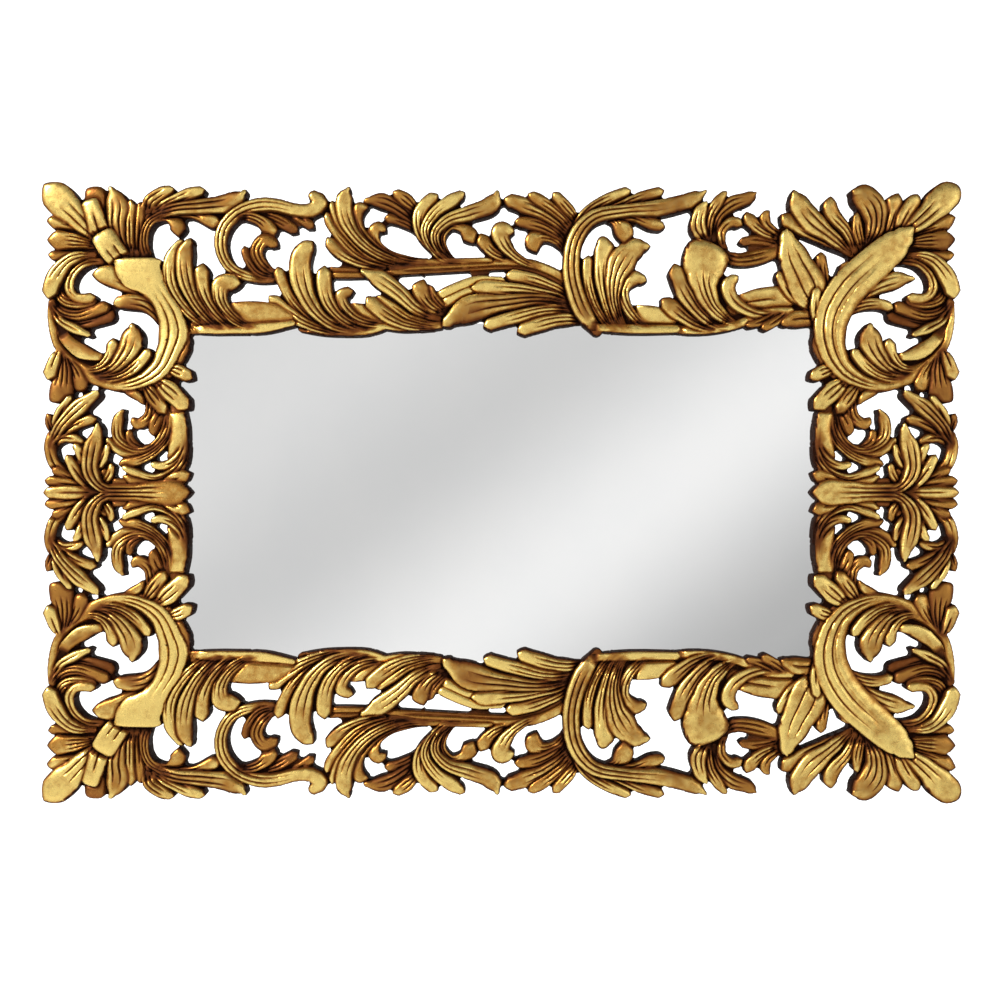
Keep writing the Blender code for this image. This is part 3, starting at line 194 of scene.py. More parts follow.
RAIL = (
    # rods
    leaf(14, 3, (-172, 223, 6), (-140, 223, 6), root=0.01, veins=0, shade_and_tone=-2),
    leaf(14, 4, (-172, 218, 5), (-140, 218, 5), (-100, 221, 5), (-50, 224, 5), (0, 227, 6), (30, 226, 9),
         (66, 208, 9), root=0.01, veins=0, shade_and_tone=-2),
    leaf(16, 4, (-110, 226, 6), (-50, 228, 6), (0, 231, 6), (30, 229, 8), (66, 213, 8),
         root=0.15, veins=0, shade_and_tone=-1.5),
    leaf(16, 3, (-100, 230, 5), (-50, 232, 4), (-10, 233, 4), root=0.15, veins=0, shade_and_tone=-1.5),
    # second wing
    leaf(18, 2, (-165, 178, 18), (-140, 178, 20), (-118, 172, 14), root=0.1, veins=0, shade_and_tone=-2.5),
    leaf(18, 3, (-200, 165, 6), (-170, 162, 8), (-135, 163, 9), (-112, 168, 5),
         root=0.1, veins=0, shade_and_tone=-2.5),
    leaf(17, 4, (-150, 160, 5), (-185, 170, 8), (-207, 190, 9), (-218, 210, 10), (-222, 221, 10)),
    leaf(20, 4, (-165, 160, 4), (-190, 167, 8), (-212, 179, 12), (-227, 192, 12)),
    leaf(18, 5, (-118, 169, 5), (-140, 172, 8), (-156, 184, 12), (-160, 196, 12), (-152, 201, 9)),
    leaf(18, 5, (-135, 163, 5), (-160, 175, 9), (-173, 192, 13), (-177, 210, 14), (-177, 220, 13)),
    leaf(19, 5, (-145, 161, 5), (-175, 172, 10), (-192, 192, 15), (-200, 215, 20), (-200, 235, 19),
         (-193, 246, 14), veins=2),
    # third wing
    leaf(18, 3, (-70, 188, 12), (-52, 197, 17), (-28, 207, 16), (0, 211, 9), root=0.1, veins=1, shade_and_tone=-2.5),
    leaf(17, 4, (-55, 183, 6), (-66, 192, 10), (-72, 204, 9)),
    leaf(18, 4, (-58, 180, 6), (-72, 188, 10), (-80, 200, 15), (-80, 205, 16)),
    leaf(18, 3, (-120, 168, 6), (-95, 166, 8), (-60, 168, 6), root=0.1, veins=0, shade_and_tone=-2.5),
    leaf(19, 5, (-62, 174, 5), (-85, 184, 11), (-102, 200, 15), (-120, 213, 17), (-138, 222, 5), veins=2),
    leaf(18, 4, (-62, 168, 5), (-90, 173, 9), (-108, 184, 11), (-122, 194, 8)),
    leaf(20, 4, (-68, 165, 4), (-95, 168, 8), (-115, 178, 12), (-130, 191, 12)),
    # fan on the rod
    leaf(19, 4, (-118, 226, 5), (-145, 232, 9), (-163, 243, 13), (-170, 250, 12)),
    leaf(17, 4, (-105, 228, 5), (-140, 238, 9), (-158, 255, 11), (-169, 270, 12), (-173, 277, 8)),
    leaf(17, 5, (-100, 229, 5), (-130, 238, 7), (-150, 256, 8), (-161, 272, 10), (-168, 288, 8)),
    leaf(17, 4, (-75, 232, 5), (-105, 236, 7), (-122, 245, 9), (-129, 257, 12), (-124, 266, 10),
         (-118, 264, 7)),
    leaf(17, 4, (-90, 231, 5), (-118, 240, 8), (-136, 255, 10), (-145, 270, 12), (-143, 283, 12),
         (-137, 286, 8)),
    leaf(19, 5, (-95, 230, 5), (-125, 240, 8), (-145, 257, 10), (-155, 275, 14), (-157, 292, 15),
         (-152, 304, 3), veins=2),
    # lobes reaching left from the middle spray
    leaf(15, 4, (-84, 262, 6), (-98, 272, 10), (-112, 275, 9)),
    leaf(16, 4, (-86, 270, 6), (-100, 283, 12), (-118, 292, 14), (-135, 292, 5)),
    leaf(17, 4, (-84, 282, 6), (-95, 293, 12), (-104, 299, 9)),
    # middle spray
    leaf(17, 4, (-46, 231, 5), (-56, 242, 6), (-60, 256, 8), (-50, 268, 8), (-38, 265, 9), (-31, 257, 15)),
    leaf(18, 4, (-50, 231, 5), (-67, 242, 6), (-81, 262, 10), (-81, 280, 12), (-68, 295, 11)),
    leaf(19, 4, (-50, 230, 5), (-68, 243, 6), (-76, 262, 8), (-66, 280, 10), (-50, 292, 12), (-40, 298, 8)),
    leaf(20, 5, (-46, 231, 5), (-62, 243, 6), (-66, 258, 8), (-54, 272, 10), (-30, 280, 14),
         (-10, 288, 16), (-4, 300, 4), veins=2),
    # small fan
    leaf(17, 4, (8, 234, 5), (-8, 241, 9), (-18, 253, 13)),
    leaf(18, 5, (35, 226, 5), (14, 237, 8), (3, 250, 13), (0, 261, 18), (7, 262, 12), veins=2),
    # lobes reaching left from the great spray
    leaf(16, 4, (63, 243, 5), (56, 252, 8), (42, 257, 10), (33, 253, 16), (33, 248, 14)),
    leaf(16, 4, (64, 252, 5), (45, 265, 10), (30, 270, 12), (18, 271, 9)),
    leaf(17, 5, (70, 258, 6), (45, 278, 11), (25, 287, 15), (9, 292, 13), veins=2),
    leaf(16, 4, (72, 265, 5), (54, 282, 10), (38, 293, 11), (31, 297, 9)),
    leaf(17, 4, (77, 272, 5), (66, 285, 10), (55, 297, 9)),
    # leaf bundle
    leaf(18, 4, (72, 195, 5), (50, 206, 9), (30, 213, 12), (11, 217, 12)),
    leaf(19, 4, (72, 190, 5), (45, 198, 8), (15, 202, 13), (-15, 204, 16), (-27, 205, 5)),
    leaf(19, 4, (84, 172, 6), (60, 173, 11), (40, 169, 13), (22, 163, 12)),
    leaf(19, 4, (74, 182, 5), (45, 183, 9), (15, 176, 12), (-12, 168, 11)),
    leaf(20, 4, (72, 187, 5), (40, 193, 9), (5, 190, 14), (-30, 184, 24), (-54, 170, 10), veins=2),
    # fourth wing
    leaf(18, 2, (132, 180, 14), (150, 178, 16), (170, 175, 14), root=0.1, veins=0, shade_and_tone=-2.5),
    leaf(18, 3, (90, 166, 6), (130, 164, 8), (175, 164, 7), root=0.1, veins=0, shade_and_tone=-2.5),
    leaf(17, 4, (112, 163, 5), (95, 185, 8), (87, 210, 9), (87, 232, 10)),
    leaf(18, 5, (118, 163, 5), (106, 190, 10), (102, 220, 16), (104, 240, 20), (102, 250, 12), tip=1.8),
    leaf(18, 5, (145, 166, 5), (127, 184, 9), (122, 202, 11), (130, 214, 15), (141, 213, 9)),
    leaf(19, 5, (125, 164, 5), (113, 190, 10), (114, 214, 17), (121, 231, 25), (131, 243, 20),
         (145, 246, 7), veins=3),
    # great spray
    leaf(17, 4, (88, 267, 4), (100, 276, 6), (114, 273, 9), (122, 263, 17), (123, 259, 17)),
    leaf(17, 4, (100, 277, 5), (130, 277, 9), (150, 270, 12), (159, 267, 9)),
    leaf(18, 4, (72, 258, 6), (85, 280, 9), (105, 293, 10), (125, 301, 9)),
    leaf(18, 4, (90, 276, 5), (115, 285, 8), (140, 295, 11), (158, 301, 9)),
    leaf(20, 5, (96, 163, 10), (80, 185, 16), (70, 222, 15), (75, 255, 15), (92, 275, 13),
         (125, 282, 11), (160, 285, 15), (190, 293, 14), (204, 301, 2), root=0.05, veins=2),
    # fifth wing
    leaf(18, 2, (235, 188, 16), (262, 193, 22), (285, 195, 22), root=0.1, veins=1, shade_and_tone=-2.5),
    leaf(18, 3, (175, 164, 7), (205, 163, 7), (235, 168, 7), (262, 178, 10), (290, 180, 10),
         root=0.1, veins=0, shade_and_tone=-2.5),
    leaf(19, 4, (210, 163, 5), (190, 171, 10), (173, 184, 15), (165, 190, 12)),
    leaf(20, 4, (222, 164, 5), (200, 178, 11), (184, 200, 16), (175, 221, 15)),
    leaf(18, 4, (280, 178, 6), (252, 180, 9), (233, 192, 12), (227, 206, 13), (233, 214, 9), veins=1),
    leaf(20, 5, (238, 168, 5), (214, 183, 14), (204, 203, 21), (202, 220, 30), (204, 233, 41),
         (206, 239, 41), tip=2.2, blunt=1.9, veins=(0.05, 0.45, -0.35)),
    # small lobes under the rail
    leaf(17, 3, (275, 180, 4), (262, 172, 7), (248, 168, 6)),
    leaf(17, 3, (285, 180, 4), (275, 172, 8), (264, 166, 8)),
    # last spray
    leaf(15, 4, (224, 240, 8), (235, 234, 12), (255, 236, 14), (278, 244, 12), veins=2),
    leaf(14, 3, (278, 248, 5), (258, 253, 9), (242, 252, 7)),
    leaf(17, 4, (278, 256, 5), (262, 262, 9), (250, 272, 12), (247, 276, 10), veins=2),
    leaf(17, 3, (280, 260, 5), (268, 267, 7), (264, 275, 9), (266, 280, 6)),
    leaf(16, 4, (224, 245, 5), (221, 262, 8), (230, 271, 9), (237, 270, 9)),
    leaf(17, 4, (213, 254, 5), (216, 275, 9), (230, 289, 13), (247, 295, 11), (254, 300, 2)),
    leaf(18, 4, (208, 253, 5), (208, 275, 9), (216, 290, 10), (223, 299, 6)),
    leaf(19, 4, (206, 252, 6), (197, 265, 15), (199, 280, 12), (204, 289, 5)),
)
LEFT_CORNER = (
    # corner fan, side lobes
    leaf(17, 4, (-410, 264, 6), (-430, 270, 12), (-446, 272, 15)),
    leaf(17, 4, (-405, 248, 6), (-430, 252, 14), (-444, 253, 18)),
    # dark ball and leaf behind the strap
    leaf(14, 3, (-408, 280, 12), (-407, 292, 18), (-407, 297, 18), tip=3),
    # corner lobe
    leaf(20, 4, (-402, 252, 8), (-424, 276, 20), (-440, 292, 28), (-446, 298, 27),
         tip=1.35, veins=2, shade_and_tone=-1.5),
    # upright fan
    leaf(15, 4, (-356, 236, 8), (-357, 262, 10), (-352, 276, 8), veins=1),
    leaf(16, 4, (-364, 238, 5), (-364, 265, 11), (-361, 286, 10)),
    leaf(17, 5, (-370, 238, 5), (-373, 262, 11), (-371, 288, 11)),
    leaf(18, 5, (-376, 240, 5), (-385, 268, 17), (-384, 288, 20), (-390, 304, 5), veins=2),
    # strap of overlapping lengths
    leaf(21, 3, (-401, 258, 18), (-405, 272, 17), (-409, 285, 15), tip=4, veins=1, shade_and_tone=-1.2),
    leaf(22, 3, (-380, 232, 20), (-389, 244, 22), (-393, 250, 22), tip=4, veins=2, shade_and_tone=-1.2),
    # spray over the first hole
    leaf(17, 4, (-353, 234, 8), (-357, 256, 8), (-350, 272, 8), (-335, 277, 8), (-325, 270, 12),
         (-323, 264, 14)),
    leaf(17, 4, (-353, 270, 5), (-335, 279, 7), (-310, 280, 9), (-290, 272, 12), (-284, 269, 8)),
    leaf(18, 4, (-354, 282, 8), (-351, 291, 12), (-340, 299, 12), (-331, 303, 8)),
    leaf(19, 4, (-350, 280, 6), (-330, 290, 10), (-312, 298, 12), (-300, 302, 8)),
    leaf(20, 5, (-350, 276, 6), (-325, 284, 11), (-295, 287, 14), (-270, 291, 17), (-256, 301, 4), veins=2),
    # ring stem
    leaf(15, 3, (-215, 284, 5), (-202, 276, 9), (-191, 268, 8), veins=1),
    leaf(17, 5, (-230, 215, 8), (-254, 217, 9), (-271, 226, 10), (-280, 245, 11), (-277, 265, 12),
         (-262, 281, 12), (-240, 288, 13), (-222, 287, 12), (-205, 283, 11), (-189, 283, 13),
         (-181, 291, 14), (-187, 297, 10), root=0.12, tip=2, veins=2),
    leaf(15, 3, (-240, 279, 5), (-222, 272, 10), (-208, 264, 9)),
    leaf(17, 4, (-262, 276, 5), (-245, 274, 9), (-233, 265, 13), (-231, 261, 13)),
    leaf(14, 4, (-228, 217, 5), (-243, 222, 8), (-252, 234, 10), (-256, 243, 8)),
    leaf(15, 4, (-228, 221, 6), (-240, 230, 10), (-245, 243, 12), (-238, 253, 12), (-228, 250, 10),
         veins=2),
    # first wing
    leaf(18, 2, (-305, 168, 10), (-275, 175, 26), (-255, 176, 28), (-232, 177, 24), (-212, 172, 12),
         root=0.1, veins=0, shade_and_tone=-2.5),
    leaf(18, 3, (-310, 163, 6), (-280, 164, 9), (-240, 165, 9), (-208, 170, 5),
         root=0.1, veins=0, shade_and_tone=-2.5),
    leaf(18, 5, (-290, 163, 5), (-318, 187, 10), (-331, 210, 13), (-330, 232, 13), (-320, 250, 7)),
    leaf(19, 5, (-250, 165, 5), (-270, 177, 10), (-281, 194, 14), (-279, 208, 17), (-268, 210, 15)),
    leaf(18, 5, (-268, 164, 5), (-290, 185, 10), (-299, 205, 14), (-299, 222, 14)),
    leaf(19, 5, (-280, 163, 5), (-305, 190, 10), (-315, 215, 15), (-316, 238, 15), (-311, 251, 7), veins=2),
    # corner body
    leaf(18, 4, (-336, 170, 8), (-346, 190, 12), (-360, 204, 17), (-378, 213, 20), (-391, 217, 19),
         (-401, 218, 14), veins=2),
    leaf(18, 4, (-334, 160, 8), (-342, 177, 12), (-355, 188, 14), (-371, 191, 14), (-382, 190, 11),
         veins=2),
    leaf(20, 4, (-332, 156, 6), (-337, 178, 8), (-349, 196, 9), (-364, 209, 10), (-377, 218, 8), veins=1),
    leaf((17, 22), 3, (-392, 107, 6), (-365, 110, 11), (-343, 123, 17), (-333, 142, 21), (-328, 160, 26),
         (-331, 177, 22), (-339, 193, 18), (-347, 206, 20), (-356, 217, 31), (-362, 224, 39),
         (-363, 231, 43), root=0.1, tip=3, blunt=6, veins=(-0.4, 0.25), shade_and_tone=-1.2),
)
RIGHT_CORNER = (
    # fans of the corner
    leaf(17, 4, (348, 240, 5), (325, 252, 9), (303, 263, 11), (286, 274, 14), veins=2),
    leaf(17, 4, (355, 240, 5), (346, 262, 10), (331, 280, 14), (329, 290, 12)),
    leaf(19, 5, (352, 238, 5), (330, 256, 13), (311, 272, 21), (299, 287, 19), (293, 299, 7), veins=2),
    leaf(16, 4, (362, 245, 6), (357, 262, 10), (356, 277, 7)),
    leaf(17, 5, (383, 252, 6), (388, 272, 14), (394, 291, 17), veins=2),
    leaf(18, 4, (395, 258, 6), (404, 276, 15), (413, 292, 13), tip=1.6, veins=1),
    leaf(18, 5, (366, 246, 8), (374, 268, 17), (372, 285, 24), (364, 295, 23), (355, 300, 11), veins=3),
    leaf(17, 4, (405, 258, 6), (430, 268, 13), (445, 273, 17)),
    leaf(17, 4, (405, 250, 6), (430, 252, 14), (444, 253, 18)),
    leaf(20, 4, (400, 258, 8), (424, 277, 18), (440, 293, 26), (446, 298, 25), tip=1.7, veins=2),
    leaf(17, 3, (316, 173, 12), (298, 174, 15), (284, 170, 8), veins=1),
    # left broad leaf
    leaf(18, 4, (312, 184, 6), (292, 200, 13), (279, 217, 10)),
    leaf(17, 3, (326, 205, 5), (322, 222, 10), (320, 236, 9)),
    leaf(20, 4, (315, 180, 16), (306, 208, 34), (294, 232, 28), (286, 254, 13), (285, 262, 3), veins=2),
    leaf(20, 4, (315, 168, 5), (314, 186, 10), (315, 201, 8), veins=1),
    # strap lobes
    leaf(18, 4, (345, 182, 8), (368, 202, 13), (392, 212, 16), (411, 214, 4), veins=2),
    leaf(18, 4, (335, 170, 6), (352, 184, 9), (372, 189, 10), (387, 186, 9)),
    leaf(20, 4, (325, 175, 10), (335, 200, 14), (345, 226, 11)),
    leaf((17, 22), 3, (392, 107, 6), (365, 110, 11), (343, 123, 18), (332, 142, 24), (329, 163, 29),
         (333, 182, 32), (348, 206, 33), (372, 229, 31), (388, 243, 29), (399, 253, 20), (409, 263, 6),
         root=0.1, tip=1.2, veins=(-0.1, 0.45), shade_and_tone=-1.2),
)


def mirrored(leaves):
    """The same leaves, turned over left to right."""
    turned = []
    for one in leaves:
        veins = one["veins"]
        if isinstance(veins, tuple):
            veins = tuple(-place for place in veins)
        stations = [(-x, z, width) for x, z, width in one["stations"]]
        turned.append(dict(one, stations=stations, veins=veins))
    return turned


def spine(stations, count=SPINE_POINTS):
    """Points along a smooth curve through a leaf's stations, and the half width at each."""
    given = np.array(stations, float)
    if len(given) == 2:
        given = np.array([given[0], given.mean(axis=0), given[1]])
    knots = np.concatenate([[0.0], np.cumsum(np.sqrt(np.hypot(*np.diff(given[:, :2], axis=0).T)))])
    slopes = np.diff(given, axis=0) / np.diff(knots)[:, None]
    tangents = np.zeros_like(given)
    before = np.diff(knots)[:-1, None]
    after = np.diff(knots)[1:, None]
    tangents[1:-1] = (slopes[:-1] * after + slopes[1:] * before) / (before + after)
    tangents[0] = 2 * slopes[0] - tangents[1]
    tangents[-1] = 2 * slopes[-1] - tangents[-2]
    along = np.linspace(0, knots[-1], count)
    piece = np.clip(np.searchsorted(knots, along, side="right") - 1, 0, len(given) - 2)
    run = (knots[piece + 1] - knots[piece])[:, None]
    share = (along - knots[piece])[:, None] / run
    ease = share * share * (3 - 2 * share)
    points = (
        (1 - ease) * given[piece]
        + ease * given[piece + 1]
        + share * (1 - share) ** 2 * run * tangents[piece]
        - share ** 2 * (1 - share) * run * tangents[piece + 1]
    )
    width = given[piece, 2] * (1 - ease[:, 0]) + given[piece + 1, 2] * ease[:, 0]
    return points[:, :2], np.maximum(width * LEAF_SPREAD + LEAF_MARGIN, 0.1) / 2


class Panel:
    """The upper half of the board on squared paper.

    Each place holds the gap to the nearest leaf, the carved height, the depth of its vein and its browning,
    which is partly painted shade.
    """

    def __init__(self, step):
        self.step = step
        self.x = np.arange(-HALF_WIDE, HALF_WIDE + step, step)
        self.z = np.arange(0, HALF_HIGH + step, step)
        self.gap = np.full((len(self.z), len(self.x)), FAR_AWAY)
        self.height = np.zeros(self.gap.shape)
        self.vein = np.zeros(self.gap.shape)
        self.shade_and_tone = np.zeros(self.gap.shape)

    def near(self, points, reach):
        """The part of the paper within reach of a row of points."""
        low = points.min(axis=0) - reach
        high = points.max(axis=0) + reach
        columns = slice(*np.searchsorted(self.x, (low[0], high[0])))
        rows = slice(*np.searchsorted(self.z, (low[1], high[1])))
        return rows, columns

    def carve(self, one):
        """Cut one leaf, its flutes and its veins over what is already there."""
        points, half = spine(one["stations"])
        here = self.near(points, half.max() + SET_IN_REACH)
        x, z = np.meshgrid(self.x[here[1]], self.z[here[0]])
        if x.size == 0:
            return
        steps = np.diff(points, axis=0)
        lengths = np.hypot(*steps.T) + 1e-6
        reached = np.concatenate([[0.0], np.cumsum(lengths)]) / lengths.sum()
        gap = np.full(x.shape, FAR_AWAY)
        along = np.zeros(x.shape)
        across = np.zeros(x.shape)
        outward = np.zeros(x.shape)
        broad = np.ones(x.shape)
        for i, step in enumerate(steps):
            dx = x - points[i, 0]
            dz = z - points[i, 1]
            passed = (dx * step[0] + dz * step[1]) / lengths[i]
            share = np.clip(passed / lengths[i], 0, 1)
            away = np.hypot(dx - share * step[0], dz - share * step[1])
            lateral = away
            if i == len(steps) - 1:
                over = np.maximum(passed - lengths[i], 0) * one["blunt"]
                aside = np.abs(step[0] * dz - step[1] * dx) / lengths[i]
                lateral = np.where(over > 0, aside, away)
                rounded = (over ** one["tip"] + aside ** one["tip"]) ** (1 / one["tip"])
                away = np.where(over > 0, rounded, away)
                gap = np.where((over > 0) & (along > TIP_START), FAR_AWAY, gap)
            wide = half[i] + (half[i + 1] - half[i]) * share
            closer = away - wide < gap
            side = np.sign(step[0] * dz - step[1] * dx)
            gap = np.where(closer, away - wide, gap)
            along = np.where(closer, reached[i] + (reached[i + 1] - reached[i]) * share, along)
            across = np.where(closer, side * lateral / wide, across)
            outward = np.where(closer, away / wide, outward)
            broad = np.where(closer, wide, broad)
        within = gap <= 0
        edge = np.interp(along, (0, 1), np.broadcast_to(one["edge"], 2))
        rise = np.clip(along / one["root"], 0, 1)
        rise = rise * rise * (3 - 2 * rise)
        height = self.height[here]
        beside = (gap > 0) & (gap < SET_IN_REACH)
        height = height - beside * SET_IN * rise * (1 - np.clip(gap / SET_IN_REACH, 0, 1)) ** 2
        crown = edge + one["dome"] * (1 - np.clip(outward, 0, 1) ** DOME_POWER)
        bend = steps[0, 0] * steps[-1, 1] - steps[0, 1] * steps[-1, 0]
        crown = crown - math.copysign(LEAN, bend) * np.clip(across, -1, 1)
        places = one["veins"]
        if places is None:
            places = 1 + int(half.max() > NARROW_LEAF) + int(half.max() > WIDE_LEAF)
        if isinstance(places, int):
            places = [2 * (k + 1) / (places + 1) - 1 for k in range(places)]
        run = np.clip((along - VEIN_START) / VEIN_RISE, 0, 1)
        run = run * np.clip((VEIN_END - along) / VEIN_FADE, 0, 1)
        depth = np.zeros(x.shape)
        for place in places:
            off = np.abs(across - place) * broad
            cut = VEIN_WIDTH * (VEIN_THIN + (1 - VEIN_THIN) * run)
            depth = np.maximum(depth, np.clip(1 - off / cut, 0, 1) * run)
        if len(places):
            lobes = (across + 1) / 2 * (len(places) + 1)
            place = 2 * (lobes % 1) - 1
            flute = FLUTE_HEIGHT * (0.5 - place ** 2) - math.copysign(FLUTE_TILT, bend) * place
            crown = crown + run * flute
        bare = self.gap[here] > 0
        under = np.where(bare, GROUND_HEIGHT, height)
        rise = np.where(bare, np.maximum(rise, BARE_RISE), rise)
        self.height[here] = np.where(within, under * (1 - rise) + crown * rise, height)
        # The leaf's browning: darker towards its root, its own setting as painted shade or painted light,
        # and a little at random.
        shade_and_tone = self.shade_and_tone[here]
        deep = ROOT_BROWNING * np.clip(1 - along / ROOT_BROWNING_REACH, 0, 1) * (one["root"] > LONG_ROOT)
        deep = deep + one["shade_and_tone"] + LEAF_TONE * math.sin(points[0].sum())
        self.shade_and_tone[here] = np.where(within, deep, shade_and_tone)
        vein = self.vein[here]
        self.vein[here] = np.where(within, np.maximum(vein * (1 - rise), depth * VEIN_DEPTH), vein)
        self.gap[here] = np.minimum(self.gap[here], gap)

    def join_leaves(self):
        """Leave wood standing where leaves nearly touch: grow them by WEB_REACH and shrink them again."""
        reach = WEB_REACH + 2 * self.step
        steps = int(reach / self.step)
        beyond = np.where((self.gap >= WEB_REACH) & (self.gap < reach), self.gap - WEB_REACH, -FAR_AWAY)
        beyond = np.where(self.gap >= reach, 0.0, beyond)
        padded = np.pad(beyond, steps, mode="edge")
        inward = np.full(self.gap.shape, reach)
        for i in range(2 * steps + 1):
            for j in range(2 * steps + 1):
                away = math.hypot(i - steps, j - steps) * self.step
                if away < reach:
                    moved = padded[i:i + self.gap.shape[0], j:j + self.gap.shape[1]]
                    inward = np.minimum(inward, away - moved)
        deep = np.minimum(self.gap, -self.step)
        self.gap = np.where(inward < reach, np.minimum(self.gap, WEB_REACH - inward), deep)


def blurred(values, cells):
    """Each value's mean over a square of cells to every side."""
    for axis in (0, 1):
        border = [(cells + 1, cells) if k == axis else (0, 0) for k in (0, 1)]
        padded = np.pad(values, border, mode="edge")
        total = np.cumsum(padded, axis=axis)
        size = values.shape[axis]
        ahead = np.take(total, range(2 * cells + 1, 2 * cells + 1 + size), axis=axis)
        behind = np.take(total, range(0, size), axis=axis)
        values = (ahead - behind) / (2 * cells + 1)
    return values


# How far round a place its depth is judged, in squares, and how much a vein adds to it as painted shade in
# the cut.
SQUARES_AROUND = (3.0, 7.0)
LEAST_WOOD = 0.05
VEIN_SHADE = 0.6
SHADE_AND_TONE_SPREAD = 2.0


def whole_board(step):
    """The carved half and its mirror image below: x, z, gap, height and how sunk each place lies, which
    sets its patina and painted shade.
    """
    panel = Panel(step)
    for leaves in (STILE, mirrored(STILE), RAIL, LEFT_CORNER, RIGHT_CORNER):
        for one in leaves:
            panel.carve(one)
    panel.join_leaves()
    wood = panel.gap <= 0
    height = np.maximum(panel.height, GROUND_HEIGHT) - panel.vein
    filled = np.where(wood, height, 0.0)
    around = np.zeros(height.shape)
    for squares in SQUARES_AROUND:
        cells = int(squares / step)
        share = np.maximum(blurred(wood.astype(float), cells), LEAST_WOOD)
        around += blurred(filled, cells) / share / len(SQUARES_AROUND)
    # Patina and painted shade: a place darkens as it lies below what is round it, in its veins, and by its
    # leaf's browning.
    sunk = around - height + VEIN_SHADE * panel.vein + blurred(panel.shade_and_tone, int(SHADE_AND_TONE_SPREAD / step))
    z = np.concatenate([-panel.z[:0:-1], panel.z])
    doubled = [np.concatenate([values[:0:-1], values]) for values in (panel.gap, height, sunk)]
    return panel.x, z, *doubled


# The four corners of a cell of the paper are counted round from the lower left, and its sides after them.
CORNER_STEPS = ((0, 0), (0, 1), (1, 1), (1, 0))
NEAREST_CUT = 0.15


def cell_walk(inside):
    """The corners (0 to 3) and cut sides (4 to 7) met going round a cell, and the pairs of cut sides."""
    walk = []
    cuts = []
    for k in range(4):
        if inside[k]:
            walk.append(k)
        if inside[k] != inside[(k + 1) % 4]:
            walk.append(4 + k)
    for k, slot in enumerate(walk):
        after = walk[(k + 1) % len(walk)]
        if slot >= 4 and after >= 4 and inside[slot - 4]:
            cuts.append((slot, after))
    return walk, cuts


def sawn_outline(x, z, gap, height):
    """Points of the carved face, its faces cut along the outline, and the outline's edges."""
    rows, columns = gap.shape
    inside = gap <= 0
    number = np.full(gap.shape, -1)
    number[inside] = np.arange(inside.sum())
    grid_x, grid_z = np.meshgrid(x, z)
    points = [np.column_stack([grid_x[inside], grid_z[inside], height[inside]])]
    count = len(points[0])
    sides = []
    for rise, run in ((0, 1), (1, 0)):
        low = (slice(0, rows - rise), slice(0, columns - run))
        high = (slice(rise, rows), slice(run, columns))
        cut = inside[low] != inside[high]
        share = np.clip(gap[low][cut] / (gap[low][cut] - gap[high][cut]), NEAREST_CUT, 1 - NEAREST_CUT)
        place_x = grid_x[low][cut] + share * (grid_x[high][cut] - grid_x[low][cut])
        place_z = grid_z[low][cut] + share * (grid_z[high][cut] - grid_z[low][cut])
        level = np.where(inside[low][cut], height[low][cut], height[high][cut])
        numbers = np.full(cut.shape, -1)
        numbers[cut] = count + np.arange(cut.sum())
        count += cut.sum()
        points.append(np.column_stack([place_x, place_z, level]))
        sides.append(numbers)
    along, up = sides
    slots = [number[i:rows - 1 + i, j:columns - 1 + j] for i, j in CORNER_STEPS]
    slots += [along[:-1], up[:, 1:], along[1:], up[:, :-1]]
    code = sum(inside[i:rows - 1 + i, j:columns - 1 + j] * 2 ** k for k, (i, j) in enumerate(CORNER_STEPS))
    faces = []
    rims = []
    for pattern in range(1, 16):
        walk, cuts = cell_walk([bool(pattern >> k & 1) for k in range(4)])
        here = code == pattern
        faces.append(np.column_stack([slots[k][here] for k in walk]))
        rims += [np.column_stack([slots[a][here], slots[b][here]]) for a, b in cuts]
    return np.concatenate(points), faces, np.concatenate(rims)


def mesh_of(name, points, faces):
    """A mesh from points and arrays of faces, each array with its own number of corners."""
    mesh = bpy.data.meshes.new(name)
    corners = np.concatenate([block.ravel() for block in faces])
    totals = np.concatenate([np.full(len(block), block.shape[1]) for block in faces])
    mesh.vertices.add(len(points))
    mesh.vertices.foreach_set("co", np.ascontiguousarray(points, np.float32).ravel())
    mesh.loops.add(len(corners))
    mesh.loops.foreach_set("vertex_index", corners.astype(np.int32))
    mesh.polygons.add(len(totals))
    mesh.polygons.foreach_set("loop_start", (np.cumsum(totals) - totals).astype(np.int32))
    mesh.update(calc_edges=True)
    return mesh


def settled(piece):
    """The piece with its modifiers applied."""
    mesh = bpy.data.meshes.new_from_object(piece.evaluated_get(bpy.context.evaluated_depsgraph_get()))
    old = piece.data
    piece.modifiers.clear()
    piece.data = mesh
    bpy.data.meshes.remove(old)


def closed_behind(mesh):
    """Fill the sawn outline at the back with a flat face."""
    shape = bmesh.new()
    shape.from_mesh(mesh)
    open_edges = [edge for edge in shape.edges if edge.is_boundary]
    bmesh.ops.triangle_fill(shape, edges=open_edges, use_beauty=False)
    bmesh.ops.recalc_face_normals(shape, faces=shape.faces)
    shape.to_mesh(mesh)
    shape.free()


def cutter_box(name, low, high):
    """A box between two corners, for a recess."""
    mesh = bpy.data.meshes.new(name)
    shape = bmesh.new()
    bmesh.ops.create_cube(shape, size=1.0)
    bmesh.ops.scale(shape, vec=Vector(high) - Vector(low), verts=shape.verts)
    bmesh.ops.translate(shape, vec=(Vector(high) + Vector(low)) / 2, verts=shape.verts)
    shape.to_mesh(mesh)
    shape.free()
    made = bpy.data.objects.new(name, mesh)
    bpy.context.scene.collection.objects.link(made)
    return made


def recess(piece, low, high, clearance):
    """Cut room for what is let in from behind."""
    low = (low[0] - clearance, low[1] - FIT_GAP, low[2] - clearance)
    high = (high[0] + clearance, BEHIND_BACK, high[2] + clearance)
    cutter = cutter_box("recess_cutter", low, high)
    cut = piece.modifiers.new("recess", "BOOLEAN")
    cut.operation = "DIFFERENCE"
    cut.solver = "EXACT"
    cut.object = cutter
    settled(piece)
    bpy.data.objects.remove(cutter, do_unlink=True)


